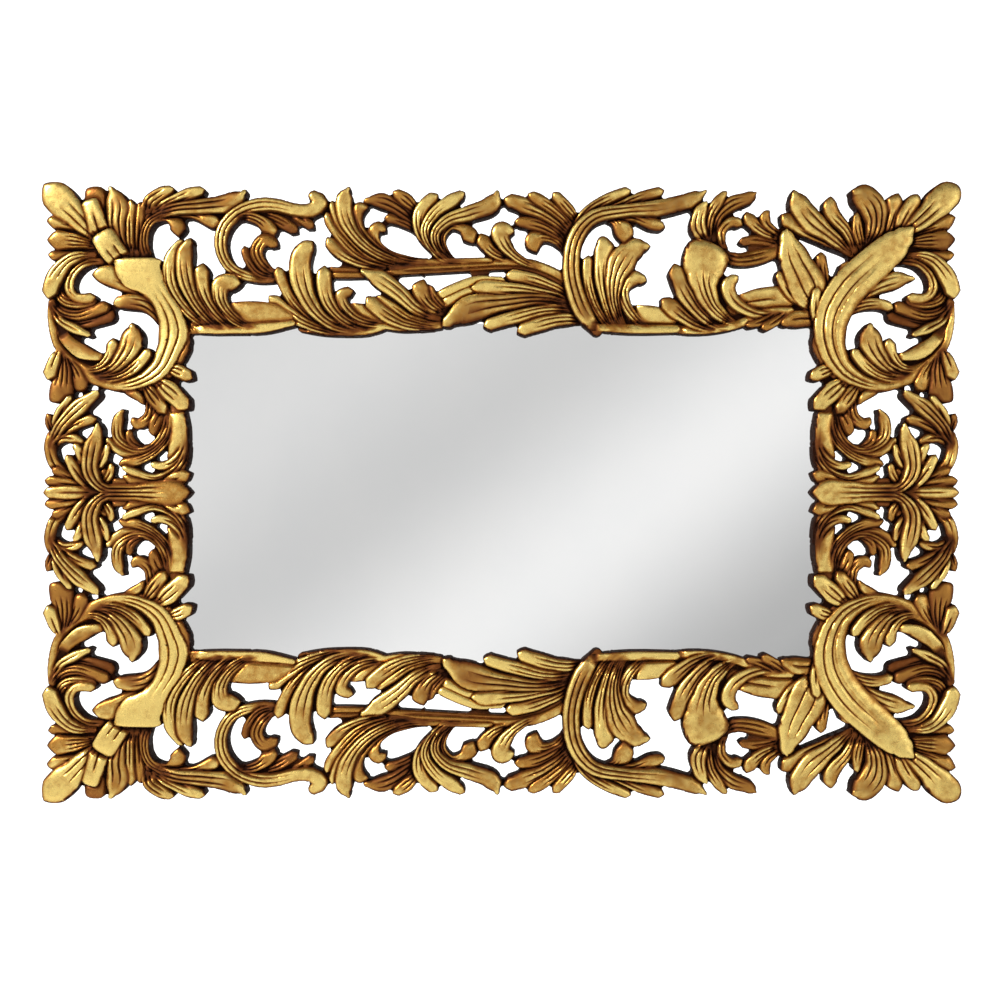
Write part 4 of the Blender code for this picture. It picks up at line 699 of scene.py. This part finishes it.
def sampled(values, x, z, at_x, at_z):
    """Values on the paper read between its crossings."""
    column = np.clip((at_x - x[0]) / (x[1] - x[0]), 0, len(x) - 1.001)
    row = np.clip((at_z - z[0]) / (z[1] - z[0]), 0, len(z) - 1.001)
    i, j = row.astype(int), column.astype(int)
    u, v = column - j, row - i
    low = values[i, j] * (1 - u) + values[i, j + 1] * u
    high = values[i + 1, j] * (1 - u) + values[i + 1, j + 1] * u
    return low * (1 - v) + high * v


def read_vectors(items, key):
    """A row for each vertex or face of a mesh."""
    values = np.empty(len(items) * 3, np.float32)
    items.foreach_get(key, values)
    return values.reshape(-1, 3)


def set_attribute(mesh, name, values):
    """Keep a value at each vertex for the materials to read."""
    made = mesh.attributes.new(name, "FLOAT", "POINT")
    made.data.foreach_set("value", np.ascontiguousarray(values, np.float32))


# Edges sharper than this stay crisp, in degrees.
SHARP_EDGE = 60
# The sunk depth at which the patina and painted shade are darkest, and how far below the face a sawn wall
# counts, in millimetres.
DARKEST_DEPTH = 6.0
WALL_DROP = 3.0
FACES_BACK = 0.5


def carved_gilding(step, triangles, gilding, wood):
    """The whole carved frame in fine relief: face, sawn walls, flat back and the recesses behind."""
    x, z, gap, height, sunk = whole_board(step)
    points, faces, rims = sawn_outline(x, z, gap, height)
    low, high = points.min(axis=0), points.max(axis=0)
    square_x = (FRAME_HIGH.x - FRAME_LOW.x) / (high[0] - low[0])
    square_z = (FRAME_HIGH.z - FRAME_LOW.z) / (high[1] - low[1])
    shift_x = FRAME_LOW.x - low[0] * square_x
    shift_z = FRAME_LOW.z - low[1] * square_z
    base = FRAME_HIGH.y - FRAME_LOW.y - high[2] * RELIEF_UNIT
    front = np.column_stack([
        shift_x + points[:, 0] * square_x,
        FRAME_HIGH.y - base - points[:, 2] * RELIEF_UNIT,
        shift_z + points[:, 1] * square_z,
    ])
    rim = np.unique(rims)
    back_number = np.full(len(front), -1)
    back_number[rim] = len(front) + np.arange(len(rim))
    back = front[rim] * (1, 0, 1) + (0, FRAME_HIGH.y, 0)
    walls = np.column_stack([rims[:, 1], rims[:, 0], back_number[rims[:, 0]], back_number[rims[:, 1]]])
    mesh = mesh_of("carved_gilding", np.concatenate([front, back]), faces + [walls])
    piece = bpy.data.objects.new("carved_gilding", mesh)
    bpy.context.scene.collection.objects.link(piece)
    thin = piece.modifiers.new("plainer", "DECIMATE")
    total = sum(len(one) * (one.shape[1] - 2) for one in faces) + 2 * len(walls)
    thin.ratio = min(1.0, triangles / total)
    thin.use_collapse_triangulate = True
    settled(piece)
    closed_behind(piece.data)
    recess(piece, PANE_LOW, (PANE_HIGH.x, 0, PANE_HIGH.z), PANE_ROOM)
    for plate_low, plate_high in PLATES:
        recess(piece, plate_low, plate_high, FIT_GAP)
    mesh = piece.data
    places = read_vectors(mesh.vertices, "co")
    normals = read_vectors(mesh.vertices, "normal")
    at_x = (places[:, 0] - shift_x) / square_x
    at_z = (places[:, 2] - shift_z) / square_z
    level = sampled(height, x, z, at_x, at_z)
    depth = sampled(sunk, x, z, at_x, at_z)
    real = (FRAME_HIGH.y - places[:, 1] - base) / RELIEF_UNIT
    # How squarely each place faces the front, for the painted shade on steep faces.
    facing = np.clip(-normals[:, 1], 0, 1)
    # Patina and painted shade, from how sunk each place lies; sawn walls are dark all over.
    hollow = np.clip(depth / DARKEST_DEPTH * 0.5 + 0.5, 0, 1)
    hollow = np.where(real < level - WALL_DROP, 1.0, hollow)
    set_attribute(mesh, "hollow", hollow)
    set_attribute(mesh, "facing", facing)
    mesh.shade_smooth()
    mesh.set_sharp_from_angle(angle=math.radians(SHARP_EDGE))
    behind = read_vectors(mesh.polygons, "normal")[:, 1] > FACES_BACK
    mesh.materials.clear()
    mesh.materials.append(gilding)
    mesh.materials.append(wood)
    mesh.polygons.foreach_set("material_index", behind.astype(np.int32))
    mesh.update()
    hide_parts("carved_frame")
    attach(piece, "root")
    return piece


class Nodes:
    """Shader nodes of one material, added and linked in short calls."""

    def __init__(self, name):
        self.material = bpy.data.materials.new(name)
        self.material.use_nodes = True
        self.tree = self.material.node_tree
        self.shader = self.tree.nodes["Principled BSDF"]

    def add(self, kind, settings=None, **inputs):
        """A node, its own settings, and its inputs by name as values or as sockets to link."""
        node = self.tree.nodes.new(kind)
        for key, value in (settings or {}).items():
            setattr(node, key, value)
        self.fill(node, inputs)
        return node

    def fill(self, node, inputs):
        """Give a node its inputs by name, with _ for each space."""
        for key, value in inputs.items():
            self.feed(node.inputs[key.replace("_", " ")], value)

    def feed(self, socket, value):
        """Link a socket to another, or set its value."""
        if isinstance(value, bpy.types.NodeSocket):
            self.tree.links.new(value, socket)
        else:
            socket.default_value = value

    def places(self, scale=(1, 1, 1)):
        """The object's own places, stretched."""
        coordinates = self.add("ShaderNodeTexCoord").outputs["Object"]
        return self.add("ShaderNodeMapping", Vector=coordinates, Scale=scale).outputs["Vector"]

    def noise(self, scale, detail=3.0, roughness=0.5, stretch=(1, 1, 1)):
        """Cloudy values from 0 to 1, with scale as the number of clouds in a metre."""
        node = self.add("ShaderNodeTexNoise", Vector=self.places(stretch), Scale=scale, Detail=detail)
        node.inputs["Roughness"].default_value = roughness
        return node.outputs["Fac"]

    def between(self, value, low, high, to_low=0.0, to_high=1.0):
        """The value eased from one range to another, and held at its ends."""
        node = self.add("ShaderNodeMapRange", {"interpolation_type": "SMOOTHSTEP"})
        self.feed(node.inputs["Value"], value)
        self.fill(node, {"From_Min": low, "From_Max": high, "To_Min": to_low, "To_Max": to_high})
        return node.outputs["Result"]

    def reckoned(self, operation, first, second):
        """One step of arithmetic."""
        node = self.add("ShaderNodeMath", {"operation": operation})
        self.feed(node.inputs[0], first)
        self.feed(node.inputs[1], second)
        return node.outputs["Value"]

    def plus(self, first, second):
        """The two added."""
        return self.reckoned("ADD", first, second)

    def minus(self, first, second):
        """The first less the second."""
        return self.reckoned("SUBTRACT", first, second)

    def times(self, first, second):
        """The two multiplied."""
        return self.reckoned("MULTIPLY", first, second)

    def larger(self, first, second):
        """Whichever is larger."""
        return self.reckoned("MAXIMUM", first, second)

    def swing(self, noise, amount):
        """A noise made to swing as far below nil as above it."""
        return self.times(self.minus(noise, 0.5), amount)

    def mixed(self, share, first, second):
        """One colour over another."""
        node = self.add("ShaderNodeMix", {"data_type": "RGBA"})
        self.feed(node.inputs["Factor"], share)
        self.feed(node.inputs["A"], first)
        self.feed(node.inputs["B"], second)
        return [out for out in node.outputs if out.type == "RGBA"][0]

    def attribute(self, name):
        """A value kept at the vertices."""
        return self.add("ShaderNodeAttribute", {"attribute_name": name}).outputs["Fac"]

    def bump(self, height, strength, distance, under=None):
        """Small relief, over other relief where that is given."""
        node = self.add("ShaderNodeBump", Height=height, Strength=strength, Distance=distance)
        if under:
            self.feed(node.inputs["Normal"], under)
        return node.outputs["Normal"]

    def set(self, **values):
        """Give the shader its finish."""
        self.fill(self.shader, values)


# Painted shade: gold is darkest at the ground's depth and brightest on the highest leaves.
LOW_GOLD = FRAME_LOW.y + 0.0110
HIGH_GOLD = FRAME_LOW.y + 0.0028


def colour(values):
    """Red, green and blue, not see-through."""
    return (*values, 1.0)


def gilding_material(looks):
    """Gold leaf rubbed bright on the crowns with a painted highlight there, brown patina and painted shade
    in what is cut deep, and painted shade on low leaves and steep faces.
    """
    paint = Nodes("antique_gilding")
    hollow = paint.attribute("hollow")
    facing = paint.attribute("facing")
    places = paint.add("ShaderNodeSeparateXYZ", Vector=paint.places()).outputs["Y"]
    high = paint.between(places, LOW_GOLD, HIGH_GOLD)
    broad = paint.noise(11.0, detail=3.0)
    patchy = paint.noise(60.0, detail=4.0, roughness=0.65)
    mottled = paint.noise(120.0, detail=3.0, roughness=0.55)
    fine = paint.noise(420.0, detail=3.0, roughness=0.6)
    # Patina and painted shade by how sunk a place lies, broken by noise.
    wear_and_shade = paint.plus(hollow, paint.plus(paint.swing(patchy, 0.22), paint.swing(broad, 0.18)))
    # Painted highlight, partly rubbed gold, where a place stands proud of what is round it.
    ridge = paint.times(paint.minus(0.42, wear_and_shade), 1.5)
    bright = paint.plus(paint.plus(paint.times(high, 0.75), ridge), paint.swing(mottled, 0.7))
    gold = paint.mixed(paint.between(bright, 0.05, 0.55), colour(looks.dull_and_shaded_gold), colour(looks.gold))
    gold = paint.mixed(paint.between(bright, 0.50, 0.90), gold, colour(looks.rubbed_gold_and_highlight))
    brown = paint.between(wear_and_shade, 0.46, 0.64)
    gold = paint.mixed(brown, gold, colour(looks.patina))
    # Painted shade: faces turned away from the front go almost black.
    steep = paint.between(facing, 0.20, 0.72, 1.0, 0.0)
    dark = paint.larger(paint.between(wear_and_shade, 0.60, 0.82), paint.times(steep, 0.95))
    gold = paint.mixed(dark, gold, colour(looks.bole_and_shade))
    shine = paint.minus(1.0, paint.larger(paint.times(brown, 0.7), dark))
    rough = paint.between(fine, 0.3, 0.7, looks.roughness - 0.06, looks.roughness + 0.08)
    rough = paint.plus(rough, paint.times(paint.larger(brown, dark), 0.3))
    marks = paint.bump(patchy, 0.36, 0.0013)
    marks = paint.bump(fine, 0.12, 0.0003, marks)
    metal = paint.between(shine, 0.0, 1.0, 0.1, looks.metal)
    gloss = paint.between(shine, 0.0, 1.0, 0.02, 0.4)
    paint.set(
        Base_Color=gold,
        Metallic=metal,
        Roughness=rough,
        Specular_IOR_Level=gloss,
        Normal=marks,
    )
    return paint.material


def stained_wood_material(looks):
    """Dark stained wood, as on the flat back."""
    wood = Nodes("stained_wood")
    grain = wood.noise(60.0, detail=5.0, roughness=0.6, stretch=(0.25, 1.0, 6.0))
    pores = wood.noise(300.0, detail=2.0, roughness=0.5, stretch=(0.2, 1.0, 5.0))
    stained = wood.between(grain, 0.35, 0.65)
    wood.set(
        Base_Color=wood.mixed(stained, colour(looks.stain_dark), colour(looks.stain_light)),
        Roughness=wood.between(pores, 0.3, 0.7, 0.55, 0.75),
        Normal=wood.bump(pores, 0.3, 0.0004),
    )
    return wood.material


GLASS_HAZE = (0.93, 0.935, 0.935)
GLASS_CLEAR = (0.955, 0.955, 0.95)
FIBRE_DARK = (0.13, 0.075, 0.04)
FIBRE_PALE = (0.28, 0.18, 0.10)
FIBRE_CLOUD = (0.20, 0.12, 0.07)
ZINC_DULL = (0.50, 0.50, 0.48)
ZINC_BRIGHT = (0.66, 0.67, 0.66)
CLOTH_COLOUR = (0.82, 0.82, 0.81)
WHITE = (1.0, 1.0, 1.0)
BLACK = (0.0, 0.0, 0.0)


def silvering_material():
    """A plain mirror with the faintest cleaning haze."""
    glass = Nodes("silvered_glass")
    haze = glass.noise(6.0, detail=4.0, roughness=0.6)
    clear = glass.between(haze, 0.3, 0.7)
    glass.set(
        Base_Color=glass.mixed(clear, colour(GLASS_HAZE), colour(GLASS_CLEAR)),
        Metallic=1.0,
        Roughness=glass.between(haze, 0.35, 0.75, 0.012, 0.04),
    )
    return glass.material


def fibreboard_material():
    """Brown pressed board with its mottled fibres."""
    board = Nodes("backing_fibreboard")
    fibres = board.noise(240.0, detail=6.0, roughness=0.7, stretch=(0.5, 1.0, 1.0))
    clouds = board.noise(9.0, detail=3.0)
    pale = board.between(fibres, 0.35, 0.7)
    tone = board.mixed(pale, colour(FIBRE_DARK), colour(FIBRE_PALE))
    tone = board.mixed(board.between(clouds, 0.4, 0.7, 0.0, 0.4), tone, colour(FIBRE_CLOUD))
    board.set(Base_Color=tone, Roughness=0.78, Normal=board.bump(fibres, 0.3, 0.0004))
    return board.material


def zinc_material():
    """Zinc plated steel with drawn scratches."""
    steel = Nodes("zinc_plated_steel")
    scratches = steel.noise(700.0, detail=3.0, roughness=0.6, stretch=(0.15, 1.0, 1.0))
    bloom = steel.between(steel.noise(60.0, detail=3.0), 0.35, 0.7)
    steel.set(
        Base_Color=steel.mixed(bloom, colour(ZINC_DULL), colour(ZINC_BRIGHT)),
        Metallic=1.0,
        Roughness=steel.between(scratches, 0.3, 0.7, 0.28, 0.45),
        Normal=steel.bump(scratches, 0.15, 0.0002),
    )
    return steel.material


def sweep_material(studio):
    """Pale studio cloth, lit to white behind the mirror and left grey in front of it."""
    cloth = Nodes("studio_cloth")
    along = cloth.add("ShaderNodeSeparateXYZ", Vector=cloth.places()).outputs["Y"]
    glow = cloth.between(along, 0.4, 2.0, studio.front_glow, studio.back_glow)
    cloth.set(
        Base_Color=colour(CLOTH_COLOUR),
        Roughness=0.9,
        Emission_Color=colour(WHITE),
        Emission_Strength=glow,
    )
    return cloth.material


# The card's bands, as places from 0 to 1 across it and their tones.
CARD_STOPS = ((0.0, 0.72), (0.17, 0.745), (0.39, 0.63), (0.65, 0.91), (0.93, 0.47), (1.0, 0.42))
CARD_WIDTH = 5.0
CARD_HEIGHT = 3.6
CARD_DISTANCE = 4.2


def card_material(studio):
    """The soft diagonal bands that the pane reflects."""
    card = Nodes("reflection_card")
    split = card.add("ShaderNodeSeparateXYZ", Vector=card.places())
    slant = card.minus(card.times(split.outputs["Z"], studio.card_slant), split.outputs["X"])
    span = studio.card_span
    share = card.add("ShaderNodeMapRange", Value=slant, From_Min=span, From_Max=-span)
    ramp = card.add("ShaderNodeValToRGB", Fac=share.outputs["Result"])
    bands = ramp.color_ramp
    bands.interpolation = "EASE"
    for k, (place, tone) in enumerate(CARD_STOPS):
        stop = bands.elements[k] if k < 2 else bands.elements.new(place)
        stop.position = place
        stop.color = colour((tone, tone, tone))
    card.set(
        Base_Color=colour(BLACK),
        Roughness=1.0,
        Emission_Color=ramp.outputs["Color"],
        Emission_Strength=1.0,
    )
    return card.material


def stage_mesh(name, points, faces, material):
    """A smooth mesh that belongs to the studio."""
    mesh = bpy.data.meshes.new(name)
    mesh.from_pydata(points, [], faces)
    mesh.materials.append(material)
    mesh.shade_smooth()
    made = bpy.data.objects.new(name, mesh)
    bpy.context.scene.collection.objects.link(made)
    return made


SWEEP_SIDES = 72
SWEEP_STEPS = 14
SWEEP_HUB = 0.001


def studio_sweep(studio):
    """A round pale floor whose rim curves up into a wall, so that no edge shows from any side."""
    bend = studio.bend
    flat = studio.reach - bend
    profile = [(SWEEP_HUB, studio.floor), (flat, studio.floor)]
    for k in range(1, SWEEP_STEPS + 1):
        angle = math.pi / 2 * k / SWEEP_STEPS
        profile.append((flat + bend * math.sin(angle), studio.floor + bend * (1 - math.cos(angle))))
    profile.append((studio.reach, studio.floor + studio.wall))
    points = []
    faces = []
    for i in range(SWEEP_SIDES):
        angle = 2 * math.pi * i / SWEEP_SIDES
        points += [(radius * math.cos(angle), radius * math.sin(angle), z) for radius, z in profile]
    size = len(profile)
    for i in range(SWEEP_SIDES):
        here = i * size
        after = (i + 1) % SWEEP_SIDES * size
        faces += [(here + k, after + k, after + k + 1, here + k + 1) for k in range(size - 1)]
    return stage_mesh("studio_sweep", points, faces, sweep_material(studio))


def reflection_card(studio):
    """A large soft card behind the camera, there for the pane to reflect and never in the picture."""
    corners = ((-1, -1), (1, -1), (1, 1), (-1, 1))
    points = [(x * CARD_WIDTH / 2, -CARD_DISTANCE, z * CARD_HEIGHT / 2) for x, z in corners]
    card = stage_mesh("reflection_card", points, [(3, 2, 1, 0)], card_material(studio))
    card.visible_camera = False
    return card


KEY_SPOT = (-2.6, -1.9, 1.7)
KEY_SIZE = 0.7
KEY_COLOUR = (1.0, 0.97, 0.92)
FILL_SPOT = (2.7, -2.7, 0.6)
FILL_SIZE = 1.6
FILL_COLOUR = WHITE
AIR_COLOUR = (0.9, 0.93, 1.0)


def soft_light(name, spot, size, power, light_colour):
    """A square area light aimed at the middle of the mirror."""
    lamp = bpy.data.lights.new(name, "AREA")
    lamp.shape = "SQUARE"
    lamp.size = size
    lamp.energy = power
    lamp.color = light_colour
    made = bpy.data.objects.new(name, lamp)
    made.location = spot
    made.rotation_euler = (-Vector(spot)).to_track_quat("-Z", "Y").to_euler()
    bpy.context.scene.collection.objects.link(made)


# The photograph is 1000 pixels square, and one pixel is 1.293 mm at the carved face.
PHOTO_PIXELS = 1000
PIXEL_SIZE = 0.001293
PHOTO_MIDDLE_X = 501.5
PHOTO_MIDDLE_Z = 492.5
SENSOR = 36.0


def photo_camera(studio):
    """The camera straight in front, framed as the photograph is."""
    camera = bpy.data.cameras.new("photo_camera")
    camera.sensor_width = SENSOR
    distance = studio.camera_distance
    camera.lens = SENSOR * distance / (PHOTO_PIXELS * PIXEL_SIZE)
    made = bpy.data.objects.new("photo_camera", camera)
    middle = (FRAME_LOW + FRAME_HIGH) / 2
    camera.shift_x = (PHOTO_PIXELS / 2 - PHOTO_MIDDLE_X) / PHOTO_PIXELS
    camera.shift_y = (PHOTO_MIDDLE_Z - PHOTO_PIXELS / 2) / PHOTO_PIXELS
    made.location = (middle.x, FRAME_LOW.y - distance, middle.z)
    made.rotation_euler = (math.radians(90), 0, 0)
    bpy.context.scene.collection.objects.link(made)
    bpy.context.scene.camera = made


def tint(name, description, default):
    """A colour that the user may change."""
    return bpy.props.FloatVectorProperty(
        name=name,
        description=description,
        default=default,
        subtype="COLOR",
        size=3,
        min=0.0,
        max=1.0,
    )


class MirrorCarving(bpy.types.PropertyGroup):
    """How finely the carving is cut."""

    paper_step: bpy.props.FloatProperty(
        name="Paper step",
        description="Spacing of the carved points, in squares of the pattern",
        default=0.7,
        min=0.4,
    )
    triangles: bpy.props.IntProperty(
        name="Triangles",
        description="Triangles kept on the carved face and walls",
        default=178000,
        min=10000,
    )


class MirrorFinish(bpy.types.PropertyGroup):
    """Colours of the gilding and of the stained back."""

    gold: tint("Gold", "Gold leaf in good light", (0.50, 0.236, 0.044))
    # Painted shade on low and sunk gold, with random dull patches.
    dull_and_shaded_gold: tint("Deep gold", "Gold leaf where it is thin", (0.29, 0.104, 0.020))
    # Rubbed gold, and the painted highlight on crowns and ridges.
    rubbed_gold_and_highlight: tint("Rubbed gold", "Gold leaf rubbed bright", (0.95, 0.70, 0.215))
    # Patina, also painted shade on sunk places and on leaves set darker.
    patina: tint("Patina", "Brown wax left beside the crowns", (0.160, 0.045, 0.008))
    # The dark ground, also painted shade in the deepest cuts and on steep faces.
    bole_and_shade: tint("Bole", "The dark ground in the deepest cuts", (0.020, 0.006, 0.003))
    stain_light: tint("Light stain", "Stained wood between the grain", (0.10, 0.05, 0.025))
    stain_dark: tint("Dark stain", "Stained wood in the grain", (0.04, 0.018, 0.009))
    roughness: bpy.props.FloatProperty(
        name="Roughness", description="Roughness of the bright gold", default=0.31, min=0.05, max=1.0
    )
    metal: bpy.props.FloatProperty(
        name="Metal", description="How metallic the bright gold is", default=0.8, min=0.0, max=1.0
    )


class MirrorStudio(bpy.types.PropertyGroup):
    """Floor, backdrop, lights and camera."""

    floor: bpy.props.FloatProperty(
        name="Floor", description="Height of the floor", default=-1.25, unit="LENGTH"
    )
    reach: bpy.props.FloatProperty(
        name="Reach", description="Radius of the sweep", default=5.2, unit="LENGTH"
    )
    bend: bpy.props.FloatProperty(
        name="Bend", description="Radius of the curve from floor to wall", default=1.6, unit="LENGTH"
    )
    wall: bpy.props.FloatProperty(
        name="Wall", description="Height of the sweep's wall", default=4.2, unit="LENGTH"
    )
    back_glow: bpy.props.FloatProperty(
        name="Back glow", description="Light of the backdrop behind the mirror", default=0.75, min=0.0
    )
    air_glow: bpy.props.FloatProperty(
        name="Air glow", description="Light from all round", default=0.12, min=0.0
    )
    front_glow: bpy.props.FloatProperty(
        name="Front glow", description="Light of the sweep behind the camera", default=0.12, min=0.0
    )
    card_slant: bpy.props.FloatProperty(
        name="Card slant", description="Slope of the bands on the reflection card", default=1.29
    )
    card_span: bpy.props.FloatProperty(
        name="Card span", description="Reach of the bands from its middle", default=2.3, unit="LENGTH"
    )
    camera_distance: bpy.props.FloatProperty(
        name="Camera distance", description="From the lens to the carved face", default=1.8, unit="LENGTH"
    )
    key_power: bpy.props.FloatProperty(
        name="Key light", description="Power of the main light", default=102.0, min=0.0, unit="POWER"
    )
    fill_power: bpy.props.FloatProperty(
        name="Fill light", description="Power of the fill light", default=8.0, min=0.0, unit="POWER"
    )


class MIRROR_OT_carving(bpy.types.Operator):
    """Cut the gilded carving over the plain frame"""

    bl_idname = "mirror.carving"
    bl_label = "Carved gilding"

    def execute(self, context):
        cut = context.scene.mirror_carving
        looks = context.scene.mirror_finish
        coarse = 1.0
        carved_gilding(
            cut.paper_step * coarse,
            int(cut.triangles / coarse),
            gilding_material(looks),
            stained_wood_material(looks),
        )
        return {"FINISHED"}


class MIRROR_OT_pane(bpy.types.Operator):
    """Silver the pane"""

    bl_idname = "mirror.pane"
    bl_label = "Silvered pane"

    def execute(self, context):
        finish("mirror_glass", silvering_material())
        return {"FINISHED"}


class MIRROR_OT_back(bpy.types.Operator):
    """Finish the backing board and the hanger plates with their screws"""

    bl_idname = "mirror.back"
    bl_label = "Back and hangers"

    def execute(self, context):
        finish("backing_board", fibreboard_material())
        zinc = zinc_material()
        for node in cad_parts:
            if node.startswith("hanger_"):
                finish(node, zinc)
        return {"FINISHED"}


class MIRROR_OT_studio(bpy.types.Operator):
    """Set up the sweep, the reflection card, the lights and the camera"""

    bl_idname = "mirror.studio"
    bl_label = "Studio"

    def execute(self, context):
        studio = context.scene.mirror_studio
        studio_sweep(studio)
        reflection_card(studio)
        soft_light("key_light", KEY_SPOT, KEY_SIZE, studio.key_power, KEY_COLOUR)
        soft_light("fill_light", FILL_SPOT, FILL_SIZE, studio.fill_power, FILL_COLOUR)
        world = bpy.data.worlds.new("studio_air")
        world.use_nodes = True
        air = world.node_tree.nodes["Background"].inputs
        air["Color"].default_value = colour(AIR_COLOUR)
        air["Strength"].default_value = studio.air_glow
        context.scene.world = world
        context.scene.view_settings.view_transform = "Standard"
        photo_camera(studio)
        return {"FINISHED"}


class MIRROR_PT_panel(bpy.types.Panel):
    """Lists the pieces of the mirror"""

    bl_idname = "MIRROR_PT_panel"
    bl_label = "Wall mirror"
    bl_space_type = "VIEW_3D"
    bl_region_type = "UI"
    bl_category = "Mirror"

    def draw(self, context):
        for piece in OPERATORS:
            self.layout.operator(piece.bl_idname)
        for group in GROUPS:
            settings = getattr(context.scene, group)
            for name in settings.bl_rna.properties.keys():
                if name not in ("rna_type", "name"):
                    self.layout.prop(settings, name)


def finish(node, material):
    """Give a node of the frame its material, in every slot."""
    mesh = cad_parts[node].data
    mesh.materials.clear()
    mesh.materials.append(material)


OPERATORS = (MIRROR_OT_carving, MIRROR_OT_pane, MIRROR_OT_back, MIRROR_OT_studio)
GROUPS = {"mirror_carving": MirrorCarving, "mirror_finish": MirrorFinish, "mirror_studio": MirrorStudio}


def register():
    """Make the settings, operators and panel known to Blender."""
    for made in (*GROUPS.values(), *OPERATORS, MIRROR_PT_panel):
        bpy.utils.register_class(made)
    for name, group in GROUPS.items():
        setattr(bpy.types.Scene, name, bpy.props.PointerProperty(type=group))


def unregister():
    """Take them away again."""
    for name in GROUPS:
        delattr(bpy.types.Scene, name)
    for made in reversed((*GROUPS.values(), *OPERATORS, MIRROR_PT_panel)):
        bpy.utils.unregister_class(made)


def main():
    """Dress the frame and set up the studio."""
    register()
    bpy.ops.mirror.carving()
    bpy.ops.mirror.pane()
    bpy.ops.mirror.back()
    bpy.ops.mirror.studio()


if __name__ == "__main__":
    main()
